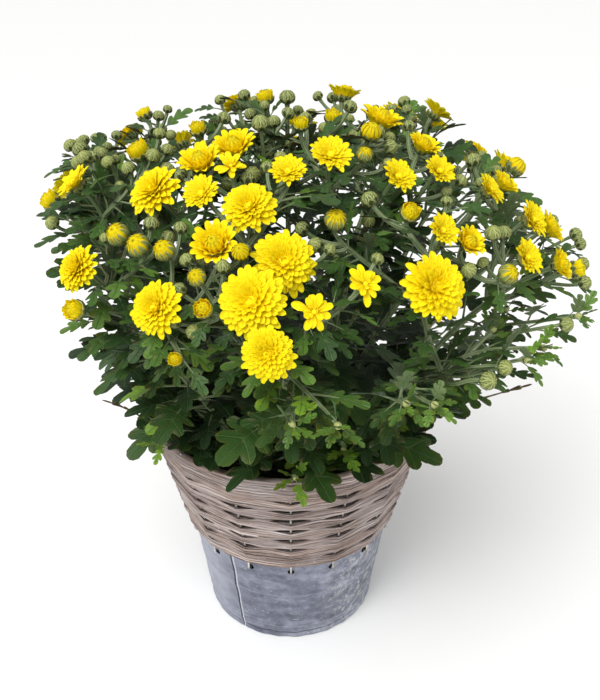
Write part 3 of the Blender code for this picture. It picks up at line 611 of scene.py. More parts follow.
def keep_grain(piece, grain):
    """Store a vector at every point for the finish to read."""
    kept = piece.data.attributes.new("grain", "FLOAT_VECTOR", "POINT")
    kept.data.foreach_set("vector", [value for triple in grain for value in triple])


def chord(azimuth):
    """How far a strip drawn straight from stake to stake lies inside the round, as a share."""
    bay = 2 * pi / STAKES
    t = azimuth / bay % 1.0
    return cos(bay / 2) / cos((t - 0.5) * bay)


def woven(first, last, height_at, half, side, lift):
    """Stations of a strip along the wall; side is 1 outside the stakes and -1 inside them."""
    phase = rng.uniform(0, 40)
    swing = STAKE_RADIUS + GAP + STRIP_HALF
    whole_round = last - first == STAKES * BAY_STEPS - 1
    made = []
    for step in range(first, last + 1):
        azimuth = 2 * pi * step / (STAKES * BAY_STEPS)
        wobble = noise.noise(around(6.0, azimuth, phase))
        ripple = noise.noise(around(15.0, azimuth, phase + 9))
        height, squeeze = height_at(azimuth, wobble)
        wall = wall_radius(height)
        radius = wall * (chord(azimuth) * STRAIGHT_SHARE + ROUND_SHARE)
        radius = radius + side * swing + 0.0005 * ripple + lift
        if side < 0:
            radius = min(radius, wall - swing)
        # A cut end gets thinner over its last steps and lies closer to the wall
        taper = 1.0 if whole_round else min(1.0, 0.25 + 0.25 * min(step - first, last - step))
        tall = half * squeeze * taper * (1 + 0.18 * ripple)
        thick = STRIP_HALF * taper * (1 + 0.2 * wobble)
        made.append((azimuth, radius - (1 - taper) * 0.0012, height, tall, thick))
    return made


def pinches():
    """How open each stake's gap is, from 0 to 1, for one edge between two rows."""
    return [rng.uniform(*GAPS_OPEN) if rng.random() > GAPS_SHUT else SHUT_GAP for _ in range(STAKES)]


def near_stake(azimuth, openings):
    """The gap's opening at an azimuth: full at a stake, none in the middle of a bay."""
    along = azimuth / (2 * pi) * STAKES
    index = round(along)
    away = min(abs(along - index) / PINCH_REACH, 1.0)
    return openings[index % STAKES] * (1 - away) * (1 + 0.5 * away)


def squeezed(azimuth, below, above):
    """A row's foot and top from its middle, in row pitches, where its strips are pinched together."""
    return -0.5 + PINCH * 0.5 * near_stake(azimuth, below), 0.5 - PINCH * 0.5 * near_stake(azimuth, above)


willow = split_willow()
round_steps = STAKES * BAY_STEPS
bottom = ZINC_HEIGHT + GAP
edges = [pinches() for _ in range(ROWS)] + [[0.0] * STAKES]
for row in range(ROWS):
    middle = bottom + ROW_PITCH / 2
    below = edges[row - 1] if row else [0.5] * STAKES
    above = edges[row]
    strips = Strips()
    shares = (-0.32, 0.0, 0.32) if rng.random() > 0.3 else (-0.24, 0.24)
    for share in shares:
        def height_at(azimuth, wobble, share=share):
            foot, top = squeezed(azimuth, below, above)
            place = middle + ROW_PITCH * ((top + foot) / 2 + share * (top - foot)) + 0.0008 * wobble
            return place, top - foot
        half = ROW_PITCH * (0.20 if len(shares) == 3 else 0.275)
        start = rng.randrange(round_steps)
        strips.lay(woven(start, start + round_steps + 5, height_at, half, 1, 0.0003 * rng.random()), False)
    for share in (-0.29, -0.06):
        def height_at(azimuth, wobble, share=share):
            return middle + share * ROW_PITCH + 0.0005 * wobble, 1.0
        strips.lay(woven(0, round_steps - 1, height_at, ROW_PITCH * 0.14, -1, 0.0), True, 5)
    strips.finish(f"willow_strips_{row + 1}", f"willow_row_{row + 1}")
    bottom += ROW_PITCH

wrap = Strips()
for share in (0.07, 0.20, 0.33, 0.46, 0.60, 0.73, 0.88):
    def height_at(azimuth, wobble, share=share):
        lift = PINCH * 0.5 * ROW_PITCH * near_stake(azimuth, edges[ROWS - 1]) * (1 - share) ** 3
        return bottom + share * WRAP_HEIGHT + lift + 0.0007 * wobble, 1.0
    start = rng.randrange(round_steps)
    half = WRAP_HEIGHT * (0.13 if share > 0.8 else 0.080)
    wrap.lay(woven(start, start + round_steps + 4, height_at, half, 1, 0.0005 * rng.random()), False)
for share in (0.15, 0.40, 0.64, 0.87):
    def height_at(azimuth, wobble, share=share):
        return bottom + share * WRAP_HEIGHT + 0.0008 * wobble, 1.0
    wrap.lay(woven(0, round_steps - 1, height_at, WRAP_HEIGHT * 0.14, -1, 0.0), True, 5)
cap = []
for step in range(round_steps):
    azimuth = 2 * pi * step / round_steps
    ripple = noise.noise(around(9.0, azimuth, 3.0))
    cap.append((azimuth, wall_radius(RIM_HEIGHT) + 0.0004 * ripple, RIM_HEIGHT - 0.0002 + 0.0003 * ripple,
                0.0013, 0.0027 * (1 + 0.15 * ripple)))
wrap.lay(cap, True)
for _ in range(10):
    azimuth = rng.uniform(0, 2 * pi)
    height = rng.uniform(0.10, 0.185)
    slope = rng.uniform(-0.4, 0.4)
    splinter = []
    for i in range(5):
        turn = azimuth + i * 0.022
        rise = height + slope * i * 0.0022
        splinter.append((turn, wall_radius(rise) + 0.0030 + 0.0004 * i, rise, 0.00035, 0.00030))
    wrap.lay(splinter, False)
wrap.finish("willow_rim_strips", "willow_rim_wrap")


# The growing pot inside is thin dark plastic with a folded lip, and holds the roots in potting soil.
# The soil is rough peat with crumbs and a few pale grains; each stem is sunk a little way into it.
GROW_HEIGHT = 0.170
GROW_TOP = 0.0895
GROW_BOTTOM = 0.0612
GROW_WALL = 0.0012
GROW_LIP = 0.0040
SOIL_TOP = 0.1645
STEM_HOLE_DEPTH = 0.014
CRUMBS = 420
POT_SIDES = 96


def turned_piece(name, profile, sides, finish):
    """A closed profile of (radius, height) points turned about the pot's axis."""
    points = [around(radius, 2 * pi * i / sides, height)
              for radius, height in profile for i in range(sides)]
    faces = ring_faces(len(profile), sides) + end_faces(len(profile), sides)
    return new_piece(name, points, faces, finish)


def potting_soil():
    """Dark peat with brown fibres and a few pale grains."""
    made, tree, shader = bare_finish("potting_soil", 0.95, 0.0, 0.2)
    place = place_in(tree)
    peat = tones(tree, cloudy(tree, place, 240, 5, 0.7), (0.30, (0.008, 0.005, 0.003)),
                 (0.55, (0.040, 0.024, 0.014)), (0.75, (0.12, 0.075, 0.045)))
    painted(tree, shader, blended(tree, specks(tree, place, 330, 0.74), peat, (0.55, 0.53, 0.50)))
    raised(tree, shader, cloudy(tree, place, 500, 6, 0.7), 0.0015)
    return made


# Smooth black plastic, dusty in places
dark_plastic = clouded("dark_plastic", (0.5,), (70, 5, 0.6), (
    (0.40, (0.012, 0.012, 0.013)), (0.75, (0.075, 0.065, 0.055))), (900,), 0.0001)
pot_foot = SHEET * 2.2 + GAP
growing_pot = turned_piece("plastic_pot", (
    (0.001, pot_foot),
    (GROW_BOTTOM + GROW_WALL - 0.002, pot_foot),
    (GROW_BOTTOM + GROW_WALL, pot_foot + 0.002),
    (GROW_TOP + GROW_WALL - 0.0003, GROW_HEIGHT - 0.0045),
    (GROW_TOP + GROW_WALL, GROW_HEIGHT - 0.0030),
    (GROW_TOP + GROW_LIP - 0.0004, GROW_HEIGHT - 0.0028),
    (GROW_TOP + GROW_LIP, GROW_HEIGHT - 0.0020),
    (GROW_TOP + GROW_LIP, GROW_HEIGHT - 0.0006),
    (GROW_TOP + GROW_LIP - 0.0006, GROW_HEIGHT),
    (GROW_TOP + 0.0005, GROW_HEIGHT),
    (GROW_TOP, GROW_HEIGHT - 0.0005),
    (GROW_BOTTOM, pot_foot + GROW_WALL),
    (0.001, pot_foot + GROW_WALL),
), POT_SIDES, dark_plastic)
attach(growing_pot, "root")
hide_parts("growing_pot")

soil_points = []
soil_rings = [(GROW_BOTTOM - 0.001, pot_foot + GROW_WALL + GAP), (GROW_TOP - 0.0028, SOIL_TOP - 0.0045)]
soil_rings += [(GROW_TOP * (1 - i / 30) - 0.002, SOIL_TOP) for i in range(1, 28)]
for ring, (radius, height) in enumerate(soil_rings):
    for i in range(POT_SIDES):
        point = around(radius, 2 * pi * i / POT_SIDES, height)
        if ring > 1:
            point.z += 0.0030 * noise.noise(point * 70) + 0.0016 * noise.noise(point * 260) - 0.0008
        soil_points.append(point)
soil_faces = ring_faces(len(soil_rings), POT_SIDES) + end_faces(len(soil_rings), POT_SIDES)
crumb = bmesh.new()
bmesh.ops.create_icosphere(crumb, subdivisions=1, radius=1.0)
crumb_points = [v.co.copy() for v in crumb.verts]
crumb_faces = [[v.index for v in f.verts] for f in crumb.faces]
crumb.free()
for _ in range(CRUMBS):
    centre = around(0.083 * sqrt(rng.random()), rng.uniform(0, 2 * pi), SOIL_TOP + 0.0002)
    size = rng.uniform(0.0007, 0.0022)
    start = len(soil_points)
    soil_points += [centre + point * size * (1 + 0.5 * noise.noise(point * 2 + centre * 900))
                    for point in crumb_points]
    soil_faces += [[start + i for i in face] for face in crumb_faces]
soil = new_piece("peat", soil_points, soil_faces, potting_soil())
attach(soil, "root")
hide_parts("soil")


# The plant was pinched out while it was young, so that it stands as a dome of side shoots. What grows
# where follows one rule: eighteen stems fan out from the soil, each shoot leaves a node of an older
# one, bends clear of its neighbours and ends in a head, and leaves stand at the nodes that are left.
MM = 0.001
UPRIGHT = Vector((0, 0, 1))
# The share of a round and the turn in radians by which things on a spiral follow each other
GOLDEN = 0.618
GOLDEN_TURN = 2.39996

# The crown: heads stand on a flattened ball
CROWN_RADIUS = 0.214
CROWN_TALL = 0.161
CROWN_HEIGHT = 0.261

# The stems, from the middle outwards: how many, the polar angle of their tips, their distance at the soil
STEM_RINGS = ((1, 8, 0.008), (6, 36, 0.034), (11, 63, 0.060))
STEM_RADIUS = 0.0026
TIP_RADIUS = 0.0013
# Where a stem has its nodes, as shares of its length, and where a long side shoot has its one
NODE_PLACES = (0.17, 0.38, 0.57, 0.75)
SHOOT_NODE_PLACE = (0.62,)
NODE_HALF = 0.0020
LONG_SHOOT = 0.042
# How far a stem leans out at its foot, as a share of its tip's polar angle, and the heads it tries
STEM_SPREAD = 0.55
HEAD_TRIES = 4

# A side shoot's length from its node to its head, at least and at most, and its radii at both ends
HEAD_REACH = (0.016, 0.160)
BUD_REACH = (0.010, 0.105)
SHOOT_RADII = (0.0017, 0.0012)
BUD_SHOOT_RADII = (0.0013, 0.0010)
NODE_TRIES = 24

# Sideways bends that a shoot tries until it finds a free way
BENDS = (
    (0, 0), (0.1, 0), (-0.1, 0), (0, 0.1), (0, -0.1), (0.2, 0.1), (-0.2, 0.1), (0.1, -0.2), (-0.2, -0.2),
    (0.3, 0), (-0.3, 0), (0, 0.3), (0, -0.3),
)

# The heads seen from the front: azimuth, polar angle, width in millimetres
OPEN_HEADS = (
    (-62, 42, 26), (-35, 37, 33), (-23, 35, 23), (-9, 38, 31), (0, 31, 22), (-1, 47, 36),
    (-41, 55, 28), (-22, 58, 31), (-6, 55, 38), (-3, 64, 29), (14, 27, 26), (44, 35, 21),
    (30, 34, 22), (54, 42, 22), (60, 51, 25), (49, 56, 23), (26, 55, 38), (32, 46, 20),
)
# Blooms from this width on are full, the others small
FULL_FROM = 28
LOOSE_HEADS = ((-17, 30, 20), (4, 57, 22), (13, 53, 21))
HALF_HEADS = (
    (-30, 28, 19), (-22, 23, 19), (-15, 45, 19), (63, 18, 20), (54, 28, 15), (66, 43, 14),
    (70, 56, 17), (62, 62, 15), (38, 49, 14),
)
CUP_HEADS = (
    (-48, 5, 13), (-44, 21, 12), (-57, 30, 16), (-69, 48, 15), (-38, 62, 14), (-14, 57, 12),
    (-17, 66, 9), (29, 15, 12), (7, 17, 11), (28, 41, 13), (72, 68, 15),
)
YELLOW_BUDS = (
    (-9, 47, 9), (-36, 47, 12), (-30, 48, 12), (-24, 48, 11), (-16, 52, 9), (37, 22, 12),
    (10, 41, 11), (25, 28, 9), (88, 46, 13), (42, 57, 11), (61, 47, 13),
)

# The heads at the back follow a rule, between two azimuths and two polar angles
BACK_BLOOMS = 9
BACK_BLOOM_AZIMUTHS = (108, 253)
BACK_BLOOM_POLARS = (20, 64)
BACK_SMALL = 14
BACK_SMALL_AZIMUTHS = (98, 263)
BACK_SMALL_POLARS = (12, 66)
BACK_WIDTHS = {"half": 18, "cup": 13, "yellow": 11}

# A bloom turns this much outwards, leans up to this much, and tries these depths under the crown
BLOOM_OUTWARD = 0.25
BLOOM_LEAN = 0.12
BLOOM_DEPTHS = (0.000, 0.006, -0.006, 0.012, -0.010, 0.018, 0.024)

# The green buds stand on a spiral over the crown, this clear of the heads
GREEN_BUDS = 40
GREEN_BUD_TRIES = 150
GREEN_BUD_POLARS = (6, 77)
GREEN_BUD_ROOM = 0.008
BUD_SIZE = 0.0085

# The leaves: half width and forward sweep along the blade, as parts of its length
LOBED_BLADE = (
    (0.20, 0.03, 0.0), (0.42, 0.33, 0.07), (0.55, 0.16, 0.0), (0.77, 0.27, 0.06), (1.0, 0.02, 0.0),
)
PLAIN_BLADE = ((0.22, 0.03, 0.0), (0.58, 0.25, 0.04), (1.0, 0.02, 0.0))
# Half a blade's thickness, the same at its foot and at its tip, and its least half width
BLADE_HALF = 0.0008
BLADE_FOOT_HALF = 0.0010
BLADE_TIP_HALF = 0.0004
BLADE_NARROWEST = 0.0008
LOBED_LEAVES = 60
LEAVES_AT_NODE = 2
PLAIN_LEAVES = 46
LOBED_LENGTH = 0.068
LOBED_SHORTER = 0.005
PLAIN_LENGTH = 0.040
DROOPS = (0.5, 0.1, 0.9, -0.3, 1.3, 0.3, 0.7)

# A stem node this high or higher carries plain leaves; the side shoots' own nodes count as this
UPPER_NODE = 4
SHOOT_NODE = 9

# In the tests for room, a new shoot is this much fatter, and starts this far out from its root
TEST_SWELL = 0.0002
ROOT_PUSH = 0.0007

# The cup that a bloom sits on: its radius and its height, as parts of the bloom's width
SEAT = 0.13
CALYX_HEIGHT = 0.09

# One slice of a stem, leaf or bud while it grows
Section = namedtuple("Section", "centre axis across wide tall sweep")

# Where a side shoot can leave a stem: the place, the stem's direction there, and the four faces
Node = namedtuple("Node", "stem place axis faces height")

# What is kept of each shoot and each leaf, to give it its real surface
Shoot = namedtuple("Shoot", "stem foot handles radii nodes seat facing width kind")
Leaf = namedtuple("Leaf", "stem foot sections lobed")


def square_to(axis, hint):
    """Two directions square to an axis, the first one nearest to the hint."""
    across = hint - axis * hint.dot(axis)
    if across.length < 1e-6:
        across = axis.orthogonal()
    across.normalize()
    return across, axis.cross(across)


def corners_of(section, swell=0.0):
    across, up = square_to(section.axis, section.across)
    forward = section.axis * section.sweep
    wide = section.wide + swell
    tall = section.tall + swell
    return [
        section.centre + across * wide + forward,
        section.centre + up * tall,
        section.centre - across * wide + forward,
        section.centre - up * tall,
    ]


def matched(points, section):
    """A section's corners, in the order that twists least from four older points."""
    corners = corners_of(section)
    middle = sum(points, Vector()) / 4

    def alike(shift):
        return sum((points[i] - middle).dot(corners[(i + shift) % 4] - section.centre) for i in range(4))

    shift = max(range(4), key=alike)
    return [corners[(i + shift) % 4] for i in range(4)]


def grow(bm, cap, section):
    """Push a four-sided face out to a new section."""
    new = bmesh.ops.extrude_discrete_faces(bm, faces=[cap])["faces"][0]
    for vert, corner in zip(new.verts, matched([v.co.copy() for v in new.verts], section)):
        vert.co = corner
    return new


def side_faces(cap):
    """The four faces behind a cap."""
    return [f for edge in cap.edges for f in edge.link_faces if f is not cap]


def box_of(points):
    """The lowest and the highest x, y and z of some points."""
    return [min(p[i] for p in points) for i in range(3)], [max(p[i] for p in points) for i in range(3)]


class Space:
    """What has grown so far, for the test that a new piece touches none of it."""

    def __init__(self):
        self.taken = []

    def add(self, points, faces):
        self.taken.append((BVHTree.FromPolygons(points, faces), *box_of(points)))

    def is_free(self, points, faces):
        low, high = box_of(points)
        tree = None
        for other, other_low, other_high in self.taken:
            if any(low[i] > other_high[i] or high[i] < other_low[i] for i in range(3)):
                continue
            tree = tree or BVHTree.FromPolygons(points, faces)
            if tree.overlap(other):
                return False
        return True


def shell(sections, swell=0.0, root=None, push=0.0):
    """The skin over some sections, and from the face that they grow from, pushed out a little."""
    points = []
    for section in sections:
        points += corners_of(section, swell)
    if root:
        foot = [v.co + root.normal * push for v in root.verts]
        order = matched(foot, sections[0])
        plain = corners_of(sections[0])
        start = [None] * 4
        for point, corner in zip(foot, order):
            start[plain.index(corner)] = point
        points = start + points
    count = len(points) // 4
    return points, ring_faces(count, 4) + end_faces(count, 4)


def turned_shell(centre, axis, across, profile, sides):
    """The points and faces of a profile of (radius, height) pairs turned about an axis."""
    up = axis.cross(across)
    points = []
    for radius, height in profile:
        for i in range(sides):
            points.append(centre + axis * height + swung(across, up, 2 * pi * i / sides) * radius)
    return points, ring_faces(len(profile), sides)


def pot_shell():
    """The soil, the growing pot's lip and the collar's upper part, as one plain turned surface."""
    clear = 2 * GAP
    inside = STAKE_RADIUS + GAP + 2 * STRAND_HALF + clear
    lip = GROW_HEIGHT + clear
    rim = RIM_HEIGHT + clear
    below = RIM_HEIGHT / 2
    profile = (
        (0.001, SOIL_TOP + clear),
        (GROW_TOP - clear, SOIL_TOP + clear),
        (GROW_TOP - clear, lip),
        (GROW_TOP + GROW_LIP + clear, lip),
        (wall_radius(lip) - inside, lip),
        (wall_radius(rim) - inside, rim),
        (wall_radius(rim) + inside, rim),
        (wall_radius(below) + inside, below),
    )
    return turned_shell(Vector(), UPRIGHT, Vector((1, 0, 0)), profile, 2 * STAKES)


def bloom_shell(place, facing, width):
    """A plain round skin over a bloom, from its seat up."""
    foot = -GAP / 2
    top = 0.33 * width
    profile = (
        (0.001, foot),
        (SEAT * width, foot),
        (0.51 * width, 0.03 * width),
        (0.51 * width, 0.09 * width),
        (0.26 * width, top),
        (0.001, top),
    )
    across = square_to(facing, Vector((0.6, 0.3, 0.7)))[0]
    return turned_shell(place, facing, across, profile, 12)


def between(ends, share):
    return ends[0] + (ends[1] - ends[0]) * share


def on_crown(azimuth, polar, depth=0.0):
    """A place on the crown and the direction that it faces, from angles in degrees."""
    azimuth = radians(azimuth)
    polar = radians(polar)
    flat = sin(polar)
    unit = Vector((flat * sin(azimuth), -flat * cos(azimuth), cos(polar)))
    place = Vector((CROWN_RADIUS * unit.x, CROWN_RADIUS * unit.y, CROWN_HEIGHT + CROWN_TALL * unit.z))
    facing = Vector((unit.x / CROWN_RADIUS, unit.y / CROWN_RADIUS, unit.z / CROWN_TALL)).normalized()
    return place - facing * depth, facing


def curve_point(p, t):
    s = 1 - t
    return p[0] * s ** 3 + p[1] * 3 * s * s * t + p[2] * 3 * s * t * t + p[3] * t ** 3


def curve_axis(p, t):
    s = 1 - t
    return ((p[1] - p[0]) * s * s + (p[2] - p[1]) * 2 * s * t + (p[3] - p[2]) * t * t).normalized()


def level_part(vector):
    """The part of a vector that lies level, at length 1."""
    return Vector((vector.x, vector.y, 0.0)).normalized()


def place_blooms(space):
    """The many-petalled heads; one that would touch another is moved in or out."""
    rng = random.Random(7)
    heads = [(a, p, w, "full" if w >= FULL_FROM else "small") for a, p, w in OPEN_HEADS]
    heads += [(a, p, w, "loose") for a, p, w in LOOSE_HEADS]
    for i in range(BACK_BLOOMS):
        azimuth = between(BACK_BLOOM_AZIMUTHS, i * GOLDEN % 1)
        polar = between(BACK_BLOOM_POLARS, sqrt((i + 0.5) / BACK_BLOOMS))
        heads.append((azimuth, polar, 26 + 11 * (i * 0.37 % 1), "full" if i % 2 else "small"))
    placed = []
    for azimuth, polar, width, kind in sorted(heads, key=lambda head: -head[2]):
        width = width * MM
        turn = rng.uniform(0, pi)
        lean = Vector((rng.uniform(-1, 1), rng.uniform(-1, 1), rng.uniform(-1, 1))) * BLOOM_LEAN
        for depth in BLOOM_DEPTHS:
            place, facing = on_crown(azimuth, polar, depth + 0.25 * width)
            outward = level_part(place)
            facing = (facing + outward * BLOOM_OUTWARD + lean).normalized()
            skin = bloom_shell(place, facing, width)
            if space.is_free(*skin):
                space.add(*skin)
                placed.append((place, facing, width, kind, turn))
                break
    return placed


def small_heads():
    """The half-open heads, cups and yellow buds, which grow on their stems."""
    heads = []
    for kind, rows in (("half", HALF_HEADS), ("cup", CUP_HEADS), ("yellow", YELLOW_BUDS)):
        heads += [(*row, kind) for row in rows]
    for i in range(BACK_SMALL):
        azimuth = between(BACK_SMALL_AZIMUTHS, (i * GOLDEN + 0.31) % 1)
        polar = between(BACK_SMALL_POLARS, sqrt((i + 0.5) / BACK_SMALL))
        kind = ("half", "cup", "yellow")[i % 3]
        heads.append((azimuth, polar, BACK_WIDTHS[kind], kind))
    made = []
    for azimuth, polar, width, kind in heads:
        place, facing = on_crown(azimuth, polar, 0.8 * width * MM)
        outward = level_part(place)
        made.append((place, (facing + outward * 0.1).normalized(), width * MM, kind))
    return made


def green_buds(heads):
    """Round green buds spread over the crown on a spiral, where no head is."""
    rng = random.Random(11)
    made = []
    for i in range(GREEN_BUD_TRIES):
        if len(made) == GREEN_BUDS:
            break
        azimuth = degrees(i * GOLDEN_TURN) + rng.uniform(-6, 6)
        polar = between(GREEN_BUD_POLARS, sqrt(i * GOLDEN % 1))
        place, facing = on_crown(azimuth, polar, rng.uniform(0.002, 0.012))
        near = min((place - head[0]).length - head[2] / 2 for head in heads + made)
        if near > GREEN_BUD_ROOM:
            made.append((place, facing, BUD_SIZE * rng.uniform(0.85, 1.15), "bud"))
    return made


def head_sections(place, facing, width, kind, across):
    """The rough sections of a head, for the test that it has room."""
    half = width / 2
    if kind == "bloom":
        shape = ((0.0, SEAT * width), (CALYX_HEIGHT * width, SEAT * width))
    elif kind in ("half", "cup"):
        shape = ((0.0, 0.4 * half), (0.3 * width, 1.1 * half), (0.6 * width, 1.4 * half))
    else:
        shape = ((0.0, 0.6 * half), (0.25 * width, 1.4 * half), (0.75 * width, 1.4 * half),
                 (width, 0.5 * half))
    return [Section(place + facing * along, facing, across, r, r, 0.0) for along, r in shape]


def seat_of(place, facing, width, kind):
    """Where the shoot under a head ends; a bloom's shoot ends under its cup."""
    return place - facing * (GAP + CALYX_HEIGHT * width) if kind == "bloom" else place


def stem_roots():
    """Each stem's tip angles and its place at the soil."""
    stems = []
    for ring, (count, polar, distance) in enumerate(STEM_RINGS):
        for i in range(count):
            azimuth = 360 * (i + 0.5 * (ring % 2)) / count
            foot = around(distance, radians(azimuth), SOIL_TOP - STEM_HOLE_DEPTH)
            stems.append((azimuth, polar, foot))
    return stems


def shoot_handles(start, first, target, facing, bend):
    """The four handles of a shoot's curve."""
    length = (target - start).length
    side = square_to(facing, first)[0]
    return (
        start,
        start + first * length * 0.35 + side * bend[0] * length,
        target - facing * length * 0.30 + side.cross(facing) * bend[1] * length,
        target,
    )


def shoot_sections(start, first, target, facing, radii, bend, nodes):
    """Sections along a shoot from a face to the foot of its head, and where its nodes are."""
    length = (target - start).length
    side = square_to(facing, first)[0]
    handles = shoot_handles(start, first, target, facing, bend)
    step = 0.0036 / length
    places = [step]
    for t in nodes:
        places += [t - NODE_HALF / length, t + NODE_HALF / length]
    places.append(1.0)
    sections = []
    for t in places:
        radius = between(radii, t)
        sections.append(Section(curve_point(handles, t), curve_axis(handles, t), side, radius, radius, 0.0))
    return sections


def grow_shoot(bm, stem, cap, sections, nodes):
    """Grow sections from a face; each pair after the first is a node."""
    made = []
    for i, section in enumerate(sections):
        cap = grow(bm, cap, section)
        if nodes and i >= 2 and i % 2 == 0 and i // 2 <= nodes:
            made.append(Node(stem, section.centre, section.axis, side_faces(cap), i // 2))
    return made


def free_way(start, first, head, radii, inner, space, root=None):
    """The first bend by which a shoot reaches its head and touches nothing, or nothing at all."""
    facing, width, kind = head[1:]
    seat = seat_of(*head)
    for bend in BENDS:
        sections = shoot_sections(start, first, seat, facing, radii, bend, inner)
        ending = head_sections(seat, facing, width, kind, sections[-1].across)
        if space.is_free(*shell(sections + ending[1:], GAP + TEST_SWELL, root, ROOT_PUSH)):
            return sections, ending, shoot_handles(start, first, seat, facing, bend)
    return None


def make_main_stem(index, azimuth, polar, foot, heads, space):
    """The main stem, from its hole in the soil to the head nearest to its tip."""
    tip = on_crown(azimuth, polar)[0]
    outward = around(1.0, radians(azimuth), 0.0)
    first = (outward * sin(radians(polar * STEM_SPREAD)) + UPRIGHT).normalized()
    start = foot + Vector((0, 0, STEM_HOLE_DEPTH + 0.003))
    radii = (STEM_RADIUS, TIP_RADIUS)
    for head in sorted(heads, key=lambda head: (head[0] - tip).length)[:HEAD_TRIES]:
        way = free_way(start, first, head, radii, NODE_PLACES, space)
        if way:
            break
    heads.remove(head)
    sections, ending, handles = way
    bm = bmesh.new()
    low = foot.z + GAP
    bmesh.ops.create_cone(
        bm, cap_ends=True, cap_tris=False, segments=4, radius1=STEM_RADIUS, radius2=STEM_RADIUS,
        depth=start.z - low, matrix=Matrix.Translation((foot.x, foot.y, (low + start.z) / 2)),
    )
    bm.normal_update()
    cap = max(bm.faces, key=lambda f: f.normal.z)
    space.add(*shell([Section(foot, UPRIGHT, outward, STEM_RADIUS, STEM_RADIUS, 0.0)] + sections))
    nodes = grow_shoot(bm, index, cap, sections, len(NODE_PLACES))
    shoots.append(Shoot(index, foot, handles, radii, NODE_PLACES, seat_of(*head), *head[1:]))
    if head[3] != "bloom":
        space.add(*shell(ending))
    return bm, nodes


def root_choices(node, target, used):
    """The free faces of a node that look towards a target, best first."""
    wanted = (target - node.place).normalized()
    choices = []
    for face in node.faces:
        if face in used or not face.is_valid:
            continue
        face.normal_update()
        share = face.normal.dot(wanted)
        if share > 0.15:
            choices.append((share, face))
    return [face for share, face in sorted(choices, key=lambda pair: -pair[0])]


def attach_head(head, nodes, stems, used, space, reach):
    """Grow a side shoot to a head from the best node that leaves it room."""
    seat = seat_of(*head)
    kind = head[3]
    ranked = []
    for node in nodes:
        way = seat - node.place
        lean = way.normalized().dot(node.axis)
        if reach[0] < way.length < reach[1] and lean >= 0.3:
            ranked.append((way.length * (1.6 - lean), len(ranked), node))
    ranked.sort(key=lambda row: row[:2])
    radii = BUD_SHOOT_RADII if kind in ("bud", "yellow") else SHOOT_RADII
    for *_, node in ranked[:NODE_TRIES]:
        for root in root_choices(node, seat, used):
            start = root.calc_center_median()
            first = (root.normal + node.axis * 0.8).normalized()
            inner = SHOOT_NODE_PLACE if (seat - start).length > LONG_SHOOT and kind != "bud" else ()
            way = free_way(start, first, head, radii, inner, space, root)
            if not way:
                continue
            sections, ending, handles = way
            space.add(*shell(sections, 0.0, root))
            used.add(root)
            foot = start - root.normal * radii[0]
            made = grow_shoot(stems[node.stem], node.stem, root, sections, len(inner))
            shoots.append(Shoot(node.stem, foot, handles, radii, inner, seat, *head[1:]))
            if kind != "bloom":
                space.add(*shell(ending))
            nodes += [each._replace(height=SHOOT_NODE) for each in made]
            return


def leaf_sections(start, first, out, length, droop, shape, rng):
    """A blade that leaves along first, levels out and droops."""
    sections = []
    across = out.cross(UPRIGHT).normalized()
    roll = rng.uniform(-0.5, 0.5)
    for t, wide, sweep in shape:
        fall = Vector((0, 0, -1)) * droop * t
        axis = (first * (1 - t) * 0.9 + out * (0.4 + t) + fall).normalized()
        if sections:
            before = sections[-1]
            centre = before.centre + (before.axis + axis).normalized() * length * (t - last_t)
        else:
            centre = start + axis * length * t
        last_t = t
        tilt = (across + axis.cross(across) * roll).normalized()
        wide = max(wide * length, BLADE_NARROWEST)
        tall = BLADE_HALF if sections else BLADE_FOOT_HALF
        if t == 1.0:
            tall = BLADE_TIP_HALF
        sections.append(Section(centre, axis, tilt, wide, tall, sweep * length))
    return sections


def place_leaves(nodes, stems, used, space, budget, shape, length_at):
    """Leaves at the nodes, lowest first, wherever a blade finds room."""
    rng = random.Random(23)
    placed = 0
    for node in sorted(nodes, key=lambda n: (n.height, n.stem)):
        if placed >= budget:
            break
        bm = stems[node.stem]
        grown = 0
        for root in node.faces:
            if root in used or not root.is_valid or grown == LEAVES_AT_NODE:
                continue
            root.normal_update()
            normal = root.normal.copy()
            start = root.calc_center_median()
            outward = level_part(node.place)
            level = Vector((normal.x, normal.y, 0.0))
            if level.length < 0.3 or normal.dot(outward) < -0.5:
                continue
            out = (level.normalized() + outward * 0.6).normalized()
            first = (normal + node.axis * 0.7).normalized()
            length = length_at(node) * rng.uniform(0.85, 1.1)
            for droop in DROOPS:
                sections = leaf_sections(start, first, out, length, droop, shape, rng)
                if not space.is_free(*shell(sections, GAP + TEST_SWELL, root, ROOT_PUSH)):
                    continue
                space.add(*shell(sections, 0.0, root))
                for section in sections:
                    cap = grow(bm, root if section is sections[0] else cap, section)
                used.add(root)
                leaves.append(Leaf(node.stem, start - normal * TIP_RADIUS, sections, shape is LOBED_BLADE))
                placed += 1
                grown += 1
                break


shoots = []
leaves = []
space = Space()
space.add(*pot_shell())
blooms = place_blooms(space)
heads = [(place, facing, width, "bloom") for place, facing, width, kind, turn in blooms] + small_heads()
heads += green_buds(heads)
stems = []
nodes = []
for azimuth, polar, foot in stem_roots():
    bm, made = make_main_stem(len(stems), azimuth, polar, foot, heads, space)
    stems.append(bm)
    nodes += made
used = set()
heads.sort(key=lambda head: -head[2])
for head in heads:
    attach_head(head, nodes, stems, used, space, BUD_REACH if head[3] == "bud" else HEAD_REACH)
lower = [node for node in nodes if node.height < UPPER_NODE]
upper = [node for node in nodes if node.height >= UPPER_NODE]
place_leaves(lower, stems, used, space, LOBED_LEAVES, LOBED_BLADE,
             lambda node: LOBED_LENGTH - LOBED_SHORTER * node.height)
place_leaves(upper, stems, used, space, PLAIN_LEAVES, PLAIN_BLADE, lambda node: PLAIN_LENGTH)
for bm in stems:
    bm.free()


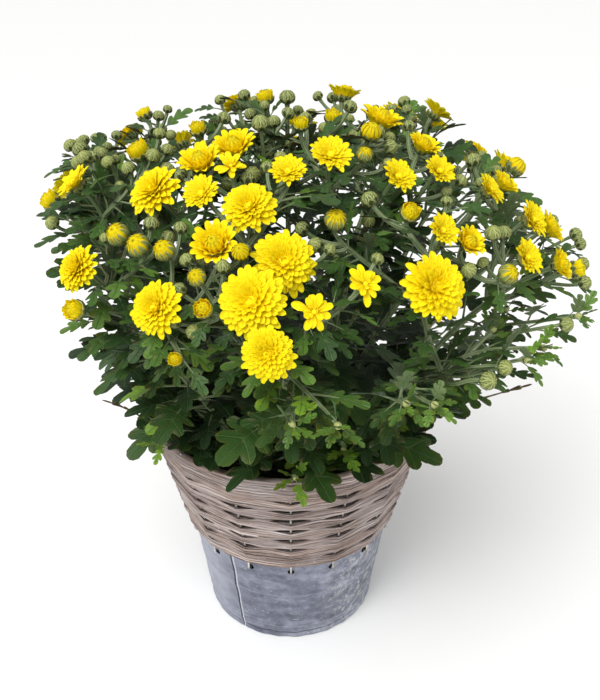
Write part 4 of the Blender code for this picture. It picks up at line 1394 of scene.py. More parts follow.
# The plant fills its dome. A spray carries side buds on short stalks close under its head, and leaves stand
# all the way up every shoot: large at the foot and small near the heads. Low in the dome they are darker,
# partly their own older green and partly painted shade, and deep inside it they are darkened as painted
# shade.
SIDE_BUDS = ((0.90, 0.0), (0.80, 2.1), (0.70, 4.2), (0.84, 5.2), (0.62, 1.1), (0.74, 3.2))
SIDE_BUDS_MOST = 2
SIDE_BUD_POLAR = 64
SIDE_BUD_REACH = (0.012, 0.021)
MORE_BUDS_ABOVE = 0.362
TUFT_PLACES = (0.30, 0.42, 0.54, 0.66)
TUFT_SHARE = 0.22
TUFT_HEIGHTS = (0.185, 0.350)
TUFT_REACH = (0.012, 0.020)
TUFT_BELOW = 0.312
LEAF_TURN = 2.4
# Below the crown the dome narrows like a cone: its radius at the rim, and how fast it widens upwards
CONE_FOOT = 0.114
CONE_SLOPE = 0.86
MAIN_LEAF_STEP = 0.0044
SIDE_LEAF_STEP = 0.0041
# This share of the leaves near the dome's skin is left out, and this share of all on the lower right
SKIN_LEFT_OUT = 0.12
RIGHT_LEFT_OUT = 0.62
RIGHT_FROM = 0.085
RIGHT_BELOW = 0.335
LEAF_SIZES = (0.032, 0.052)
LOBED_FROM = 0.038
LOBED_BELOW = 0.27
# Where the dome's low part ends, where its inside ends, and where its outside begins
LOW_HEIGHTS = (0.20, 0.33)
DEEP_SHARES = (0.55, 0.90)
OUTER_SHARES = (0.60, 0.98)
# A leaf's tone up in the dome and low in it, darker low partly as older green and partly as painted shade,
# how much that varies, and the painted shade that darkens the leaves inside the dome
LEAF_TONES = (0.56, 0.26)
TONE_SPREAD = 0.22
INSIDE_SHADE_TONES = (0.20, 1.0)
# A few of the outer leaves are young and bright
YOUNG_SHARE = 0.06
YOUNG_TONES = (0.80, 0.95)


def hides_bloom(seat):
    """Whether a bud with this seat would stand in front of a bloom."""
    for place, facing, width, kind, turn in blooms:
        way = seat - place
        along = way.dot(facing)
        if -0.004 < along < 0.035 and (way - facing * along).length < width * 0.5 + 0.003:
            return True
    return False


def crown_share(place):
    """How near a place is to the dome's skin: 0 in the middle, 1 on the skin."""
    flat = hypot(place.x, place.y)
    share = flat / max(CONE_FOOT + CONE_SLOPE * (place.z - RIM_HEIGHT), 0.010)
    if place.z > CROWN_HEIGHT:
        share = max(share, hypot(flat / CROWN_RADIUS, (place.z - CROWN_HEIGHT) / CROWN_TALL))
    return share


def beside(shoot, t, angle, hint):
    """A place on a shoot, the shoot's direction there, and the direction at an angle round it."""
    axis = curve_axis(shoot.handles, t)
    across, up = square_to(axis, Vector(hint))
    return curve_point(shoot.handles, t), axis, swung(across, up, angle)


def side_bud(shoot, t, angle, reach, width, kind="bud"):
    """A bud on a short stalk that leaves a shoot below its head, or nothing where it has no room."""
    place, axis, side = beside(shoot, t, angle, (0.3, 0.5, 0.8))
    start = place + side * shoot.radii[0] * 1.5
    first = (side + axis * 0.7).normalized()
    rise = Vector((0, 0, 0.35))
    seat = start + (axis * 0.8 + side * 0.75 + rise * 0.6).normalized() * reach
    facing = (axis * 0.7 + side * 0.35 + rise).normalized()
    sections = shoot_sections(start, first, seat, facing, BUD_SHOOT_RADII, (0, 0), ())
    skin = shell(sections + head_sections(seat, facing, width, "bud", sections[-1].across)[1:], TEST_SWELL)
    if hides_bloom(seat) or crown_share(seat) > 0.96 or not space.is_free(*skin):
        return None
    space.add(*skin)
    handles = shoot_handles(start, first, seat, facing, (0, 0))
    return Shoot(shoot.stem, place, handles, BUD_SHOOT_RADII, (), seat, facing, width, kind)


rng = random.Random(41)
side_shoots = []
for number, shoot in enumerate(shoots):
    low = cos(radians(SIDE_BUD_POLAR)) * CROWN_TALL + CROWN_HEIGHT
    if shoot.seat.z < low:
        continue
    most = 1 if shoot.kind == "bud" else SIDE_BUDS_MOST
    if shoot.seat.z > MORE_BUDS_ABOVE:
        most += 1
    grown = 0
    for t, angle in SIDE_BUDS:
        if grown == most:
            break
        reach = rng.uniform(*SIDE_BUD_REACH) + 0.3 * shoot.width * (shoot.kind == "bloom")
        made = side_bud(shoot, t, angle + number, reach, BUD_SIZE * rng.uniform(0.72, 1.10))
        if made:
            side_shoots.append(made)
            grown += 1
for number, shoot in enumerate(list(shoots)):
    if (shoot.seat - shoot.foot).length < LONG_SHOOT:
        continue
    for t in TUFT_PLACES:
        height = curve_point(shoot.handles, t).z
        if TUFT_HEIGHTS[0] < height < TUFT_HEIGHTS[1] and rng.random() < TUFT_SHARE:
            made = side_bud(shoot, t, number * 1.7 + t * 9, rng.uniform(*TUFT_REACH), 0.0050, "tuft")
            if made and crown_share(made.seat) < 0.86:
                side_shoots.append(made)
for i, shoot in enumerate(shoots):
    if shoot.kind == "bud" and shoot.seat.z < TUFT_BELOW and i % 4:
        shoots[i] = shoot._replace(kind="tuft")
shoots += side_shoots

# Single low shoots at the front: three fresh tips at the rim, a withered bloom and two dry twigs
LOW_SHOOTS = (
    ((0.003, -0.112, 0.196), (0.1, -0.8, 0.4), "fresh"),
    ((-0.083, -0.094, 0.2105), (-0.3, -0.7, 0.5), "fresh"),
    ((0.0345, -0.100, 0.209), (0.1, -0.7, 0.6), "fresh"),
    ((0.0596, -0.095, 0.2411), (0.2, -0.6, 0.6), "withered"),
    ((0.1260, -0.088, 0.2400), (0.85, 0.0, 0.45), "dry"),
    ((-0.0960, -0.080, 0.2200), (-0.45, 0.0, 0.9), "dry"),
)
for place, way, kind in LOW_SHOOTS:
    seat = Vector(place)
    spots = [(curve_point(shoot.handles, t), shoot)
             for shoot in shoots[:len(stems)] for t in (0.1, 0.2, 0.3, 0.4)]
    foot, parent = min(
        spots, key=lambda spot: (spot[0] - seat).length + 2 * max(spot[0].z - seat.z + 0.01, 0.0))
    facing = Vector(way).normalized()
    first = (seat - foot + Vector((0.0, 0.0, 0.02))).normalized()
    handles = shoot_handles(foot, first, seat, facing, (0, 0))
    shoots.append(Shoot(parent.stem, foot, handles, BUD_SHOOT_RADII, (), seat, facing, 0.0110, kind))

# Room for these leaves is tested against the pot and the blooms, and against each small head as a ball
leaf_room = Space()
leaf_room.taken = space.taken[:1 + len(blooms)]
small_shoots = [shoot for shoot in shoots if shoot.kind not in ("bloom", "dry")]
ball_room = KDTree(len(small_shoots))
for index, shoot in enumerate(small_shoots):
    ball_room.insert(shoot.seat + shoot.facing * shoot.width * 0.45, index)
ball_room.balance()


def meets_a_ball(sections):
    for before, section in zip(sections, sections[1:]):
        for share in (0.35, 0.7, 1.0):
            middle = before.centre.lerp(section.centre, share)
            for place, index, away in ball_room.find_range(middle, 0.02):
                if away < small_shoots[index].width * 0.52 + section.wide * 0.6:
                    return True
    return False


def leaf_on(shoot, t, angle, length, lobed, lift):
    """A leaf that leaves a shoot at a share of its length and an angle round it, if it has room."""
    place, axis, side = beside(shoot, t, angle, (0.4, 0.3, 0.8))
    outward = level_part(place)
    if side.dot(outward) < -0.8:
        return None
    out = (side + outward * 0.5 + axis * lift).normalized()
    first = (side * 0.7 + axis * 0.8).normalized()
    shape = LOBED_BLADE if lobed else PLAIN_BLADE
    for droop in (0.6, 0.1, 1.0, -0.3):
        sections = leaf_sections(place, first, out, length, droop, shape, rng)
        if crown_share(sections[-1].centre) > 1.0:
            continue
        if not meets_a_ball(sections) and leaf_room.is_free(*shell(sections[1:], 0.0008)):
            return Leaf(shoot.stem, place, sections, lobed)
    return None


fine_leaves = []
for number, shoot in enumerate(shoots):
    length = (shoot.handles[3] - shoot.handles[0]).length
    main = shoot.radii[0] == STEM_RADIUS
    if shoot.kind == "dry" or shoot.kind in ("bud", "tuft") and length < 0.020:
        continue
    step = MAIN_LEAF_STEP if main else SIDE_LEAF_STEP
    count = int(length * 0.93 / step)
    for i in range(count):
        t = (i + 0.6) * step / length
        place = curve_point(shoot.handles, t)
        height = place.z
        low = 1 - smooth_step(*LOW_HEIGHTS, height)
        deep = 1 - smooth_step(*DEEP_SHARES, crown_share(place))
        on_right = place.x > RIGHT_FROM and height < RIGHT_BELOW
        thin = RIGHT_LEFT_OUT if on_right else SKIN_LEFT_OUT * (1 - deep)
        if rng.random() < thin:
            continue
        size = between(LEAF_SIZES, max(low, 0.8 * deep)) * rng.uniform(0.75, 1.10)
        if not main:
            size *= 0.9
        lobed = size > LOBED_FROM and (height < LOBED_BELOW or deep < 0.5)
        angle = number + i * LEAF_TURN
        lift = 0.25 + 0.5 * (1 - low)
        leaf = (leaf_on(shoot, t, angle, size, lobed, lift)
                or leaf_on(shoot, t, angle + 1.9, size, lobed, lift))
        if leaf:
            outer = smooth_step(*OUTER_SHARES, crown_share(leaf.sections[-1].centre))
            # Darker low in the dome: partly the older leaves' own green, partly painted shade
            tone = between(LEAF_TONES, low) + rng.uniform(-TONE_SPREAD, TONE_SPREAD)
            # Painted shade inside the dome: a leaf far from the dome's skin is darkened
            tone *= between(INSIDE_SHADE_TONES, outer)
            if outer > 0.7 and rng.random() < YOUNG_SHARE:
                tone = rng.uniform(*YOUNG_TONES)
            fine_leaves.append((leaf, tone))


# Every green stem is pale grey-green, finely ribbed and a little swollen at its nodes. It carries
# lobed leaves, round buds wrapped in pale-edged scales, and heads that begin to show yellow.
RIBS = 5
RIB_DEPTH = 0.09
STEM_SIDES = 10
STEM_STEP = 0.0035
NODE_SWELL = 0.22
PETAL_THICK = 0.00022
# Which way every head is turned about its axis
HEAD_TURN = Vector((0.3, 0.2, 0.9))


class Growth:
    """What grows on one stem, gathered into one mesh; grain is what the finishes read at each point."""

    def __init__(self):
        self.points = []
        self.faces = []
        self.slots = []
        self.grain = []

    def add(self, points, faces, grain, slot):
        """Faces are numbered from 0 for these points."""
        start = len(self.points)
        self.points += points
        self.faces += [[start + i for i in face] for face in faces]
        self.grain += grain
        self.slots += [slot] * len(faces)

    def finish(self, name, *finishes):
        piece = new_piece(name, self.points, self.faces, *finishes, slots=self.slots)
        keep_grain(piece, self.grain)
        piece.data.set_sharp_from_angle(angle=radians(65))
        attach(piece, "root")
        return piece


def blade(stations, cells, thickness, number):
    """A thin closed blade: a station is its middle, across, up, half width, cupping, and share along."""
    points = []
    grain = []
    wide = cells + 1
    for middle, across, up, half, cup, share in stations:
        for k in range(wide):
            v = 2 * k / cells - 1
            points.append(middle + across * (half * v) + up * (cup * v * v))
            grain.append((share, v, number))
    under = {}
    for i in range(1, len(stations) - 1):
        up = stations[i][2]
        for k in range(1, cells):
            under[i, k] = len(points)
            points.append(points[i * wide + k] - up * thickness)
            grain.append(grain[i * wide + k])
    faces = []
    for i in range(len(stations) - 1):
        for k in range(cells):
            corners = ((i, k), (i, k + 1), (i + 1, k + 1), (i + 1, k))
            faces.append([a * wide + b for a, b in corners])
            faces.append([under.get((a, b), a * wide + b) for a, b in reversed(corners)])
    return points, faces, grain


# Shares of a petal's length where it has a station, close together near its round tip
PETAL_SHARES = (0.0, 0.30, 0.58, 0.76, 0.89, 0.965, 1.0)
# A petal's width as parts of its full width: at its foot, and what it gains up to this share of its length
PETAL_FOOT_WIDE = 0.34
PETAL_GAINS = 0.66
PETAL_FULL_AT = 0.62
# From where on its tip closes, how much length that takes, how round it is, and the least half width
TIP_FROM = 0.66
TIP_REACH = 0.345
TIP_ROUND = 0.55
PETAL_LEAST = 0.00008


def petal_half(wide, s):
    """Half a petal's width at a share of its length."""
    grown = PETAL_FOOT_WIDE + PETAL_GAINS * smooth_step(0.0, PETAL_FULL_AT, s)
    closing = max(1 - ((s - TIP_FROM) / TIP_REACH) ** 2, 0.0) ** TIP_ROUND if s > TIP_FROM else 1.0
    return wide * grown * closing + PETAL_LEAST


def curved_strip(start, forward, up, length, rises, wide, cup):
    """Stations of a petal that leaves along forward and turns towards up by angles in turn."""
    across = forward.cross(up)
    stations = []
    place = start.copy()
    before = 0.0
    for s in PETAL_SHARES:
        angle = rises((s + before) / 2)
        normal = up * cos(angle) - forward * sin(angle)
        place += swung(forward, up, angle) * (length * (s - before))
        half = petal_half(wide, s)
        stations.append((place.copy(), across, normal, half, cup * half, s))
        before = s
    return stations


def shoot_line(shoot):
    """Points, radii and places along a shoot, from inside its parent to its head."""
    length = (shoot.handles[3] - shoot.handles[0]).length
    steps = max(5, round(length / STEM_STEP))
    points = [shoot.foot]
    if (shoot.handles[0] - shoot.foot).length > 0.006:
        points.append((shoot.foot + shoot.handles[0]) / 2)
    radii = [shoot.radii[0] * 1.08] * len(points)
    for i in range(steps + 1):
        t = i / steps
        swell = sum(hump((t - node) * length, 0.006) for node in shoot.nodes)
        collar = 0.7 * exp(-((1 - t) * length / 0.0028)) if shoot.kind != "bud" else 0.25
        points.append(curve_point(shoot.handles, t))
        radii.append(between(shoot.radii, t) * (1 + NODE_SWELL * swell + (collar if i == steps else 0)))
    return points, radii


def grow_stem(growth, shoot, number):
    points, radii = shoot_line(shoot)
    made, faces = tube(points, radii, STEM_SIDES, 0, RIBS, RIB_DEPTH)
    grain = []
    for i in range(len(points)):
        for k in range(STEM_SIDES):
            grain.append((i / len(points), cos(RIBS * 2 * pi * k / STEM_SIDES), number))
    growth.add(made, faces, grain, STEM_FINISH)


def ball(centre, axis, profile, sides):
    """A closed turned body on an axis: profile is (height, radius) pairs."""
    across, up = square_to(axis, HEAD_TURN)
    points = []
    grain = []
    for height, radius in profile:
        for k in range(sides):
            points.append(centre + axis * height + swung(across, up, 2 * pi * k / sides) * radius)
            grain.append((height / profile[-1][0], 1.0, 0.5))
    return points, ring_faces(len(profile), sides) + end_faces(len(profile), sides), grain


def round_profile(width, squash, rings, top=1.0, bottom=0.16):
    """The (height, radius) pairs of a ball that stands on its foot, from one share of its half turn on."""
    half = width / 2
    made = []
    for i in range(rings + 1):
        angle = pi * (bottom + (top - bottom) * i / rings)
        made.append((half * squash * (1 - cos(angle)), max(half * sin(angle), 0.0002)))
    return made


def hugging_scale(growth, place, axis, spoke, width, squash, low, high, half, lift, number, slot,
                  steps=4, crown=0.28):
    """A scale that lies on a bud from one angle to another; lift raises its tip."""
    across = axis.cross(spoke)
    ball_half = width / 2
    stations = []
    for i in range(steps + 1):
        s = i / steps
        angle = pi * (low + (high - low) * s)
        normal = spoke * sin(angle) - axis * (cos(angle) / squash)
        normal.normalize()
        reach = ball_half * (1.02 + lift * s)
        up = ball_half * squash - reach * squash * cos(angle)
        middle = place + axis * up + spoke * (reach * sin(angle))
        wide = half * sin(pi * (0.25 + 0.73 * s)) ** 0.7
        stations.append((middle, across, normal, wide, -crown * wide * wide / ball_half, s))
    points, faces, grain = blade(stations, 2, 0.00012, number)
    growth.add(points, faces, grain, slot)


def bud_scales(growth, place, axis, width, squash, rows, number, steps=4):
    """Rows of overlapping scales; a row is its count, its angles, its width and the lift of its tips."""
    across, up = square_to(axis, Vector((0.31, 0.77, 0.2)))
    for row, (count, low, high, share, lift) in enumerate(rows):
        for i in range(count):
            angle = 2 * pi * (i + 0.5 * (row % 2) + 0.07 * ((i * 5) % 3)) / count
            hugging_scale(growth, place, axis, swung(across, up, angle), width, squash, low, high,
                          share * pi * width / count, lift, 0.35 * number + 0.28 * row,
                          SCALE_FINISH, steps)


def petal_ring(growth, place, axis, count, radius, height, length, rises, half, cup, turn, slot):
    """A ring of petals round an axis, each a little unlike the next."""
    across, up = square_to(axis, HEAD_TURN)
    first, last = rises
    for i in range(count):
        spoke = swung(across, up, 2 * pi * (i + turn + rng.uniform(-0.22, 0.22)) / count)
        reach = length * rng.uniform(0.88, 1.06)
        bend = rng.uniform(-0.10, 0.10)
        wide = half * rng.uniform(0.88, 1.12)
        curl = rng.uniform(-0.12, 0.12)
        stations = curved_strip(place + axis * height + spoke * radius, spoke, axis, reach,
                                lambda s: first + bend + (last + curl - first) * s, wide, cup)
        growth.add(*blade(stations, 2, PETAL_THICK, rng.random()), slot)


def folded_petals(growth, place, axis, width, squash, rings, steps=5):
    """Rings of petals that are still folded over a ball; a ring is its count, its angles and its width."""
    across, up = square_to(axis, HEAD_TURN)
    growth.add(*ball(place, axis, round_profile(width * 0.90, squash, 6), 12), FOLDED_FINISH)
    for ring, (count, low, high, share) in enumerate(rings):
        for i in range(count):
            angle = 2 * pi * (i + 0.5 * ring) / count + rng.uniform(-0.08, 0.08)
            hugging_scale(growth, place, axis, swung(across, up, angle), width * (1.0 - 0.02 * ring), squash,
                          low, high, share * pi * width / count, 0.03, rng.random(), FOLDED_FINISH,
                          steps, 2.6)


def scaly_cup(growth, place, axis, width, squash, rows, number):
    """A green cup, open at its top, under rows of pointed scales."""
    growth.add(*ball(place, axis, round_profile(width, squash, 4, 0.46), 12), SCALE_FINISH)
    bud_scales(growth, place, axis, width * 1.03, squash, rows, number)


def green_bud(growth, shoot, number):
    """A closed bud under three rows of scales."""
    place, axis, width = shoot.seat, shoot.facing, shoot.width
    squash = 0.88
    growth.add(*ball(place, axis, round_profile(width * 0.97, squash, 6), 10), SCALE_FINISH)
    bud_scales(growth, place, axis, width, squash, (
        (7, 0.10, 0.52, 0.62, 0.07), (8, 0.22, 0.80, 0.60, 0.03), (8, 0.45, 0.98, 0.50, 0.0)), number, 3)


def yellow_bud(growth, shoot, number):
    """A bud whose petals are still folded together over its top."""
    place, axis, width = shoot.seat, shoot.facing, shoot.width
    squash = 0.92
    folded_petals(growth, place, axis, width, squash, ((13, 0.28, 0.86, 0.46), (12, 0.40, 0.985, 0.42)))
    reach = 0.24 if number > 0.45 else 0.0
    bud_scales(growth, place, axis, width * 1.03, squash, (
        (8, 0.12, 0.42 + reach * 0.5, 0.62, 0.05), (10, 0.22, 0.52 + reach, 0.46, 0.04)), number + 0.9)


def opening_head(growth, shoot, number):
    """A head with upright petals: a tight brush in a cup, or half open."""
    place, axis, width = shoot.seat, shoot.facing, shoot.width
    squash = 0.85
    if shoot.kind == "half":
        cup_width = width * 0.62
        rows = ((15, 0.29, 1.20, 0.35, 1.00), (13, 0.23, 1.35, 0.80, 0.92), (10, 0.17, 1.50, 1.25, 0.82))
        middle = 0.54
    else:
        cup_width = width * 0.80
        rows = ((14, 0.31, 1.30, 1.55, 0.80), (12, 0.26, 1.42, 1.75, 0.80))
        middle = 0.62
    scaly_cup(growth, place, axis, cup_width, squash, (
        (8, 0.12, 0.42, 0.60, 0.10), (9, 0.20, 0.54, 0.58, 0.06)), number)
    folded_petals(growth, place + axis * 0.10 * width, axis, middle * width, 0.76 / middle * 0.8, (
        (10, 0.35, 0.88, 0.46), (9, 0.50, 0.985, 0.42)), 4)
    lip = cup_width * squash * 0.42
    for row, (count, spread, first, last, reach) in enumerate(rows):
        petal_ring(growth, place, axis, count, spread * width, lip * 0.7, width / 2 * reach * 1.15,
                   (first, last), 0.11 * width, 0.5, 0.5 * row, PETAL_FINISH)


def young_tip(growth, shoot, number):
    """The soft bright tip of a shoot: small upright leaves round a tiny bud."""
    place, axis = shoot.seat, shoot.facing
    across, up = square_to(axis, HEAD_TURN)
    growth.add(*ball(place, axis, round_profile(0.0042, 1.1, 4), 8), SCALE_FINISH)
    fresh = shoot.kind == "fresh"
    for i in range(6):
        spoke = swung(across, up, i * LEAF_TURN + number * 6)
        inner = i > 3
        out = (spoke * (0.6 if inner else 1.0) + axis * (1.0 if inner else 0.35)).normalized()
        start = place - axis * (0.0 if inner else 0.0012 * (i + 1))
        size = (0.012 if inner else 0.018) * rng.uniform(0.85, 1.15) * (1.2 if fresh else 1.0)
        sections = leaf_sections(start, axis, out, size, 0.15, PLAIN_BLADE, rng)
        tone = 0.93 if fresh else 0.66 + 0.26 * rng.random()
        grow_leaf(growth, Leaf(shoot.stem, start, sections, False), tone, TUFT_EDGE, 1)


def bloom_cup(growth, shoot, number):
    """The flat green cup of pointed scales under an open bloom."""
    scaly_cup(growth, shoot.seat, shoot.facing, 0.40 * shoot.width, 0.70, (
        (10, 0.14, 0.42, 0.60, 0.12), (11, 0.22, 0.54, 0.58, 0.16)), number)


def withered_bloom(growth, shoot, number):
    """A faded bloom: brown, shrunken petals that hang from a dull cup."""
    bloom_cup(growth, shoot._replace(width=shoot.width * 1.9), number)
    for count, first, last in ((11, 0.6, -1.0), (9, 0.9, 0.2), (7, 1.3, 1.9)):
        petal_ring(growth, shoot.seat, shoot.facing, count, 0.0022, 0.0030, shoot.width * 0.62, (first, last),
                   0.0009, 0.9, rng.random(), DRY_FINISH)


def dry_leaf(growth, shoot, number):
    """A narrow dried leaf at the end of a bare twig."""
    start = len(growth.slots)
    level = level_part(shoot.facing)
    sections = leaf_sections(shoot.seat, shoot.facing, level, 0.032, -0.45, PLAIN_BLADE, rng)
    narrow = [section._replace(wide=section.wide * 0.35) for section in sections]
    grow_leaf(growth, Leaf(shoot.stem, shoot.seat, narrow, False), number, DRY_EDGE, 1)
    growth.slots[start:] = [DRY_FINISH] * (len(growth.slots) - start)


# The lobes on one side of a blade, from its foot up: where the vein leaves the midrib, how far along
# and how far out its tip lies, and half its width, in parts of the blade's length
BIG_LOBES = ((0.07, 0.17, 0.26, 0.085), (0.26, 0.45, 0.41, 0.115), (0.50, 0.72, 0.34, 0.105))
SMALL_LOBES = ((0.16, 0.33, 0.25, 0.090), (0.44, 0.66, 0.28, 0.095))
TUFT_LOBES = ((0.12, 0.36, 0.30, 0.135), (0.44, 0.70, 0.29, 0.120))
TIP_LOBE = 0.15
# A round lobe's edge, as shares of its length and of its half width, and the same with fewer points
ROUND_LOBE = (
    (0.50, -1.0), (0.76, -0.95), (0.93, -0.52), (1.0, 0.0), (0.93, 0.52), (0.76, 0.95), (0.56, 1.0),
)
PLAIN_LOBE = ((0.55, -0.95), (0.93, -0.45), (0.95, 0.40), (0.58, 1.0))
# The stalk's share of a leaf, and the steps along its blade
STALK_SHARE = 0.16
SPINE_STEPS = 8
# How steeply a blade rises from its midrib, how it bends down further out, and the waves of its edge
BLADE_RISE = 0.22
BLADE_FALL = 0.45
BLADE_WAVE = 0.11


def leaf_edge(lobes, shape):
    """One side of a blade's edge: place on the midrib, place along, reach, and side of the lobe's vein."""
    edge = [(0.0, 0.0, 0.012, -1.0)]
    for root, along, out, half in lobes:
        length = hypot(along - root, out)
        run = (along - root) / length
        rise = out / length
        for reach, side in shape:
            edge.append((root + 0.05 * side, root + run * length * reach + rise * half * side,
                         rise * length * reach - run * half * side, side))
    tip = ((0.74, 0.78, 1.0, -1.0), (0.81, 0.90, 0.9, -0.6), (0.91, 0.975, 0.5, -0.3))
    edge += [(root, along, TIP_LOBE * share, side) for root, along, share, side in tip]
    return edge


BIG_EDGE = leaf_edge(BIG_LOBES, ROUND_LOBE)
MIDDLE_EDGE = leaf_edge(BIG_LOBES, PLAIN_LOBE)
SMALL_EDGE = leaf_edge(SMALL_LOBES, PLAIN_LOBE)
TUFT_EDGE = leaf_edge(TUFT_LOBES, PLAIN_LOBE)
DRY_EDGE = [(root, along, reach * 0.30, side) for root, along, reach, side in SMALL_EDGE]


def leaf_path(sections, t):
    """The middle, direction and across of a leaf at a share of its whole path."""
    last = len(sections) - 1
    place = min(max(t, 0.0), 1.0) * last
    i = min(int(place), last - 1)
    f = place - i
    a, b = sections[i], sections[i + 1]
    before = sections[max(i - 1, 0)].centre
    after = sections[min(i + 2, last)].centre
    ease_in = (b.centre - before) * 0.5
    ease_out = (after - a.centre) * 0.5
    f2 = f * f
    f3 = f2 * f
    middle = (a.centre * (2 * f3 - 3 * f2 + 1) + ease_in * (f3 - 2 * f2 + f)
              + b.centre * (3 * f2 - 2 * f3) + ease_out * (f3 - f2))
    axis = (a.axis * (1 - f) + b.axis * f).normalized()
    across = square_to(axis, a.across * (1 - f) + b.across * f)[0]
    return middle, axis, across


def grow_leaf(growth, leaf, number, edge, cells):
    """A stalk and a thin lobed blade, folded a little along its midrib and waved at its edges."""
    sections = leaf.sections
    length = sum((b.centre - a.centre).length for a, b in zip(sections, sections[1:]))
    stalk = [leaf.foot, (leaf.foot + sections[0].centre) / 2, sections[0].centre]
    stalk += [leaf_path(sections, t)[0] for t in (0.20, 0.40)]
    radii = [r * min(1.0, length / 0.035) for r in (0.0011, 0.0009, 0.0008, 0.0007, 0.0003)]
    made, faces = tube(stalk, radii, 5, 0)
    growth.add(made, faces, [(0.5, 0.0, number)] * len(made), STEM_FINISH)
    blade_length = length * (1 - STALK_SHARE)
    spine = []
    for i in range(SPINE_STEPS + 1):
        middle, axis, across = leaf_path(sections, STALK_SHARE + (1 - STALK_SHARE) * i / SPINE_STEPS)
        up = across.cross(axis)
        if i == 0:
            way = -1 if up.z < 0 else 1
        spine.append((middle, across * way, up * way))
    phase = number * 20
    points = []
    grain = []
    ups = []

    def put(along, reach, side):
        """Add a point of the blade's top, bent down towards its edge, and give its number."""
        place = min(max(along, 0.0), 1.0) * SPINE_STEPS
        i = min(int(place), SPINE_STEPS - 1)
        middle, across, up = (a.lerp(b, place - i) for a, b in zip(spine[i], spine[i + 1]))
        out = abs(reach)
        wave = sin(8 * along + phase + (2.0 if reach > 0 else 0.0))
        lift = BLADE_RISE * out - BLADE_FALL * out * out + BLADE_WAVE * out * wave
        points.append(middle + (across * reach + up * lift) * blade_length)
        grain.append((side, reach, number))
        ups.append(up)
        return len(points) - 1

    spots = {}
    for j, (root, along, reach, side) in enumerate(edge):
        spots[j, 0] = put(root, 0.0, 0.0)
        for way in (-1, 1):
            for k in range(1, cells + 1):
                share = k / cells
                spots[j, way * k] = put(root + (along - root) * share, way * reach * share, side)
    tip = put(1.0, 0.0, 0.0)
    under = {}
    for j in range(1, len(edge)):
        for k in range(1 - cells, cells):
            under[j, k] = len(points)
            points.append(points[spots[j, k]] - ups[spots[j, k]] * 0.0003)
            grain.append(grain[spots[j, k]])
    faces = []
    lower_faces = []
    for j in range(len(edge)):
        for k in range(-cells, cells):
            corners = [(j, k), (j, k + 1)]
            corners += [(j + 1, k + 1), (j + 1, k)] if j + 1 < len(edge) else []
            beyond = [] if j + 1 < len(edge) else [tip]
            faces.append([spots[corner] for corner in corners] + beyond)
            under_side = [under.get(corner, spots[corner]) for corner in corners] + beyond
            lower_faces.append(list(reversed(under_side)))
    growth.add(points, faces + lower_faces, grain, LEAF_FINISH)
    growth.slots[-len(lower_faces):] = [UNDER_FINISH] * len(lower_faces)


def translucent(shader, weight, depth):
    """Let light into a thin soft surface."""
    shader.inputs["Subsurface Weight"].default_value = weight
    shader.inputs["Subsurface Scale"].default_value = depth


def ribbed_stem():
    """Pale grey-green stem, darker between its ribs, with a fine down."""
    made, tree, shader = bare_finish("green_stem", 0.55, 0.0, 0.35)
    ribs = grain_in(tree)[2]
    place = place_in(tree)
    patch = cloudy(tree, place, 90, 3)
    low = tones(tree, patch, (0.35, (0.075, 0.115, 0.040)), (0.65, (0.125, 0.170, 0.075)))
    high = tones(tree, patch, (0.35, (0.190, 0.255, 0.115)), (0.65, (0.330, 0.385, 0.215)))
    painted(tree, shader, blended(tree, sums(tree, "MULTIPLY_ADD", ribs, 0.5, 0.5), low, high))
    translucent(shader, 0.08, 0.001)
    raised(tree, shader, cloudy(tree, place, 1400, 2), 0.0002)
    return made


def leaf_base(name, roughness):
    """A leaf finish without its colour, with what it is made from: place, tone and veins."""
    made, tree, shader = bare_finish(name, roughness, 0.0, 0.35)
    side, reach, number = grain_in(tree)[1:]
    place = place_in(tree)
    midrib, vein = (
        sums(tree, "SUBTRACT", 1.0, sums(tree, "DIVIDE", sums(tree, "ABSOLUTE", away), half), clamp=True)
        for away, half in ((reach, 0.011), (side, 0.13)))
    veins = sums(tree, "MAXIMUM", midrib, times(tree, vein, 0.6))
    patch = cloudy(tree, place, 130, 4, 0.6)
    tone = sums(tree, "ADD", times(tree, number, 0.80), times(tree, patch, 0.20))
    translucent(shader, 0.06, 0.001)
    return made, tree, shader, place, tone, veins


def leaf_green():
    """The upper side: mid to dark green with paler veins, each leaf its own tone; in the fine leaves that
    tone also carries painted shade low in the dome and inside it.
    """
    made, tree, shader, place, tone, veins = leaf_base("leaf_green", 0.50)
    green = tones(tree, tone, (0.08, (0.007, 0.021, 0.006)), (0.38, (0.018, 0.052, 0.010)),
                  (0.62, (0.045, 0.110, 0.015)), (0.80, (0.100, 0.210, 0.022)), (0.93, (0.270, 0.460, 0.032)))
    paler = blended(tree, 0.65, green, (0.17, 0.26, 0.090))
    painted(tree, shader, blended(tree, times(tree, veins, 0.6), green, paler))
    cells = wire_up(tree, "TexVoronoi", {"Vector": place, "Scale": 900}).outputs["Distance"]
    raised(tree, shader, sums(tree, "SUBTRACT", times(tree, cells, 0.35), veins), 0.0005)
    return made


def leaf_underside():
    """The under side: dull grey-green with raised veins."""
    made, tree, shader, place, tone, veins = leaf_base("leaf_underside", 0.70)
    green = tones(tree, tone, (0.08, (0.018, 0.034, 0.013)), (0.40, (0.050, 0.082, 0.034)),
                  (0.90, (0.130, 0.200, 0.070)))
    painted(tree, shader, blended(tree, times(tree, veins, 0.5), green, (0.16, 0.22, 0.11)))
    raised(tree, shader, sums(tree, "ADD", veins, cloudy(tree, place, 700, 3)), 0.0004)
    return made


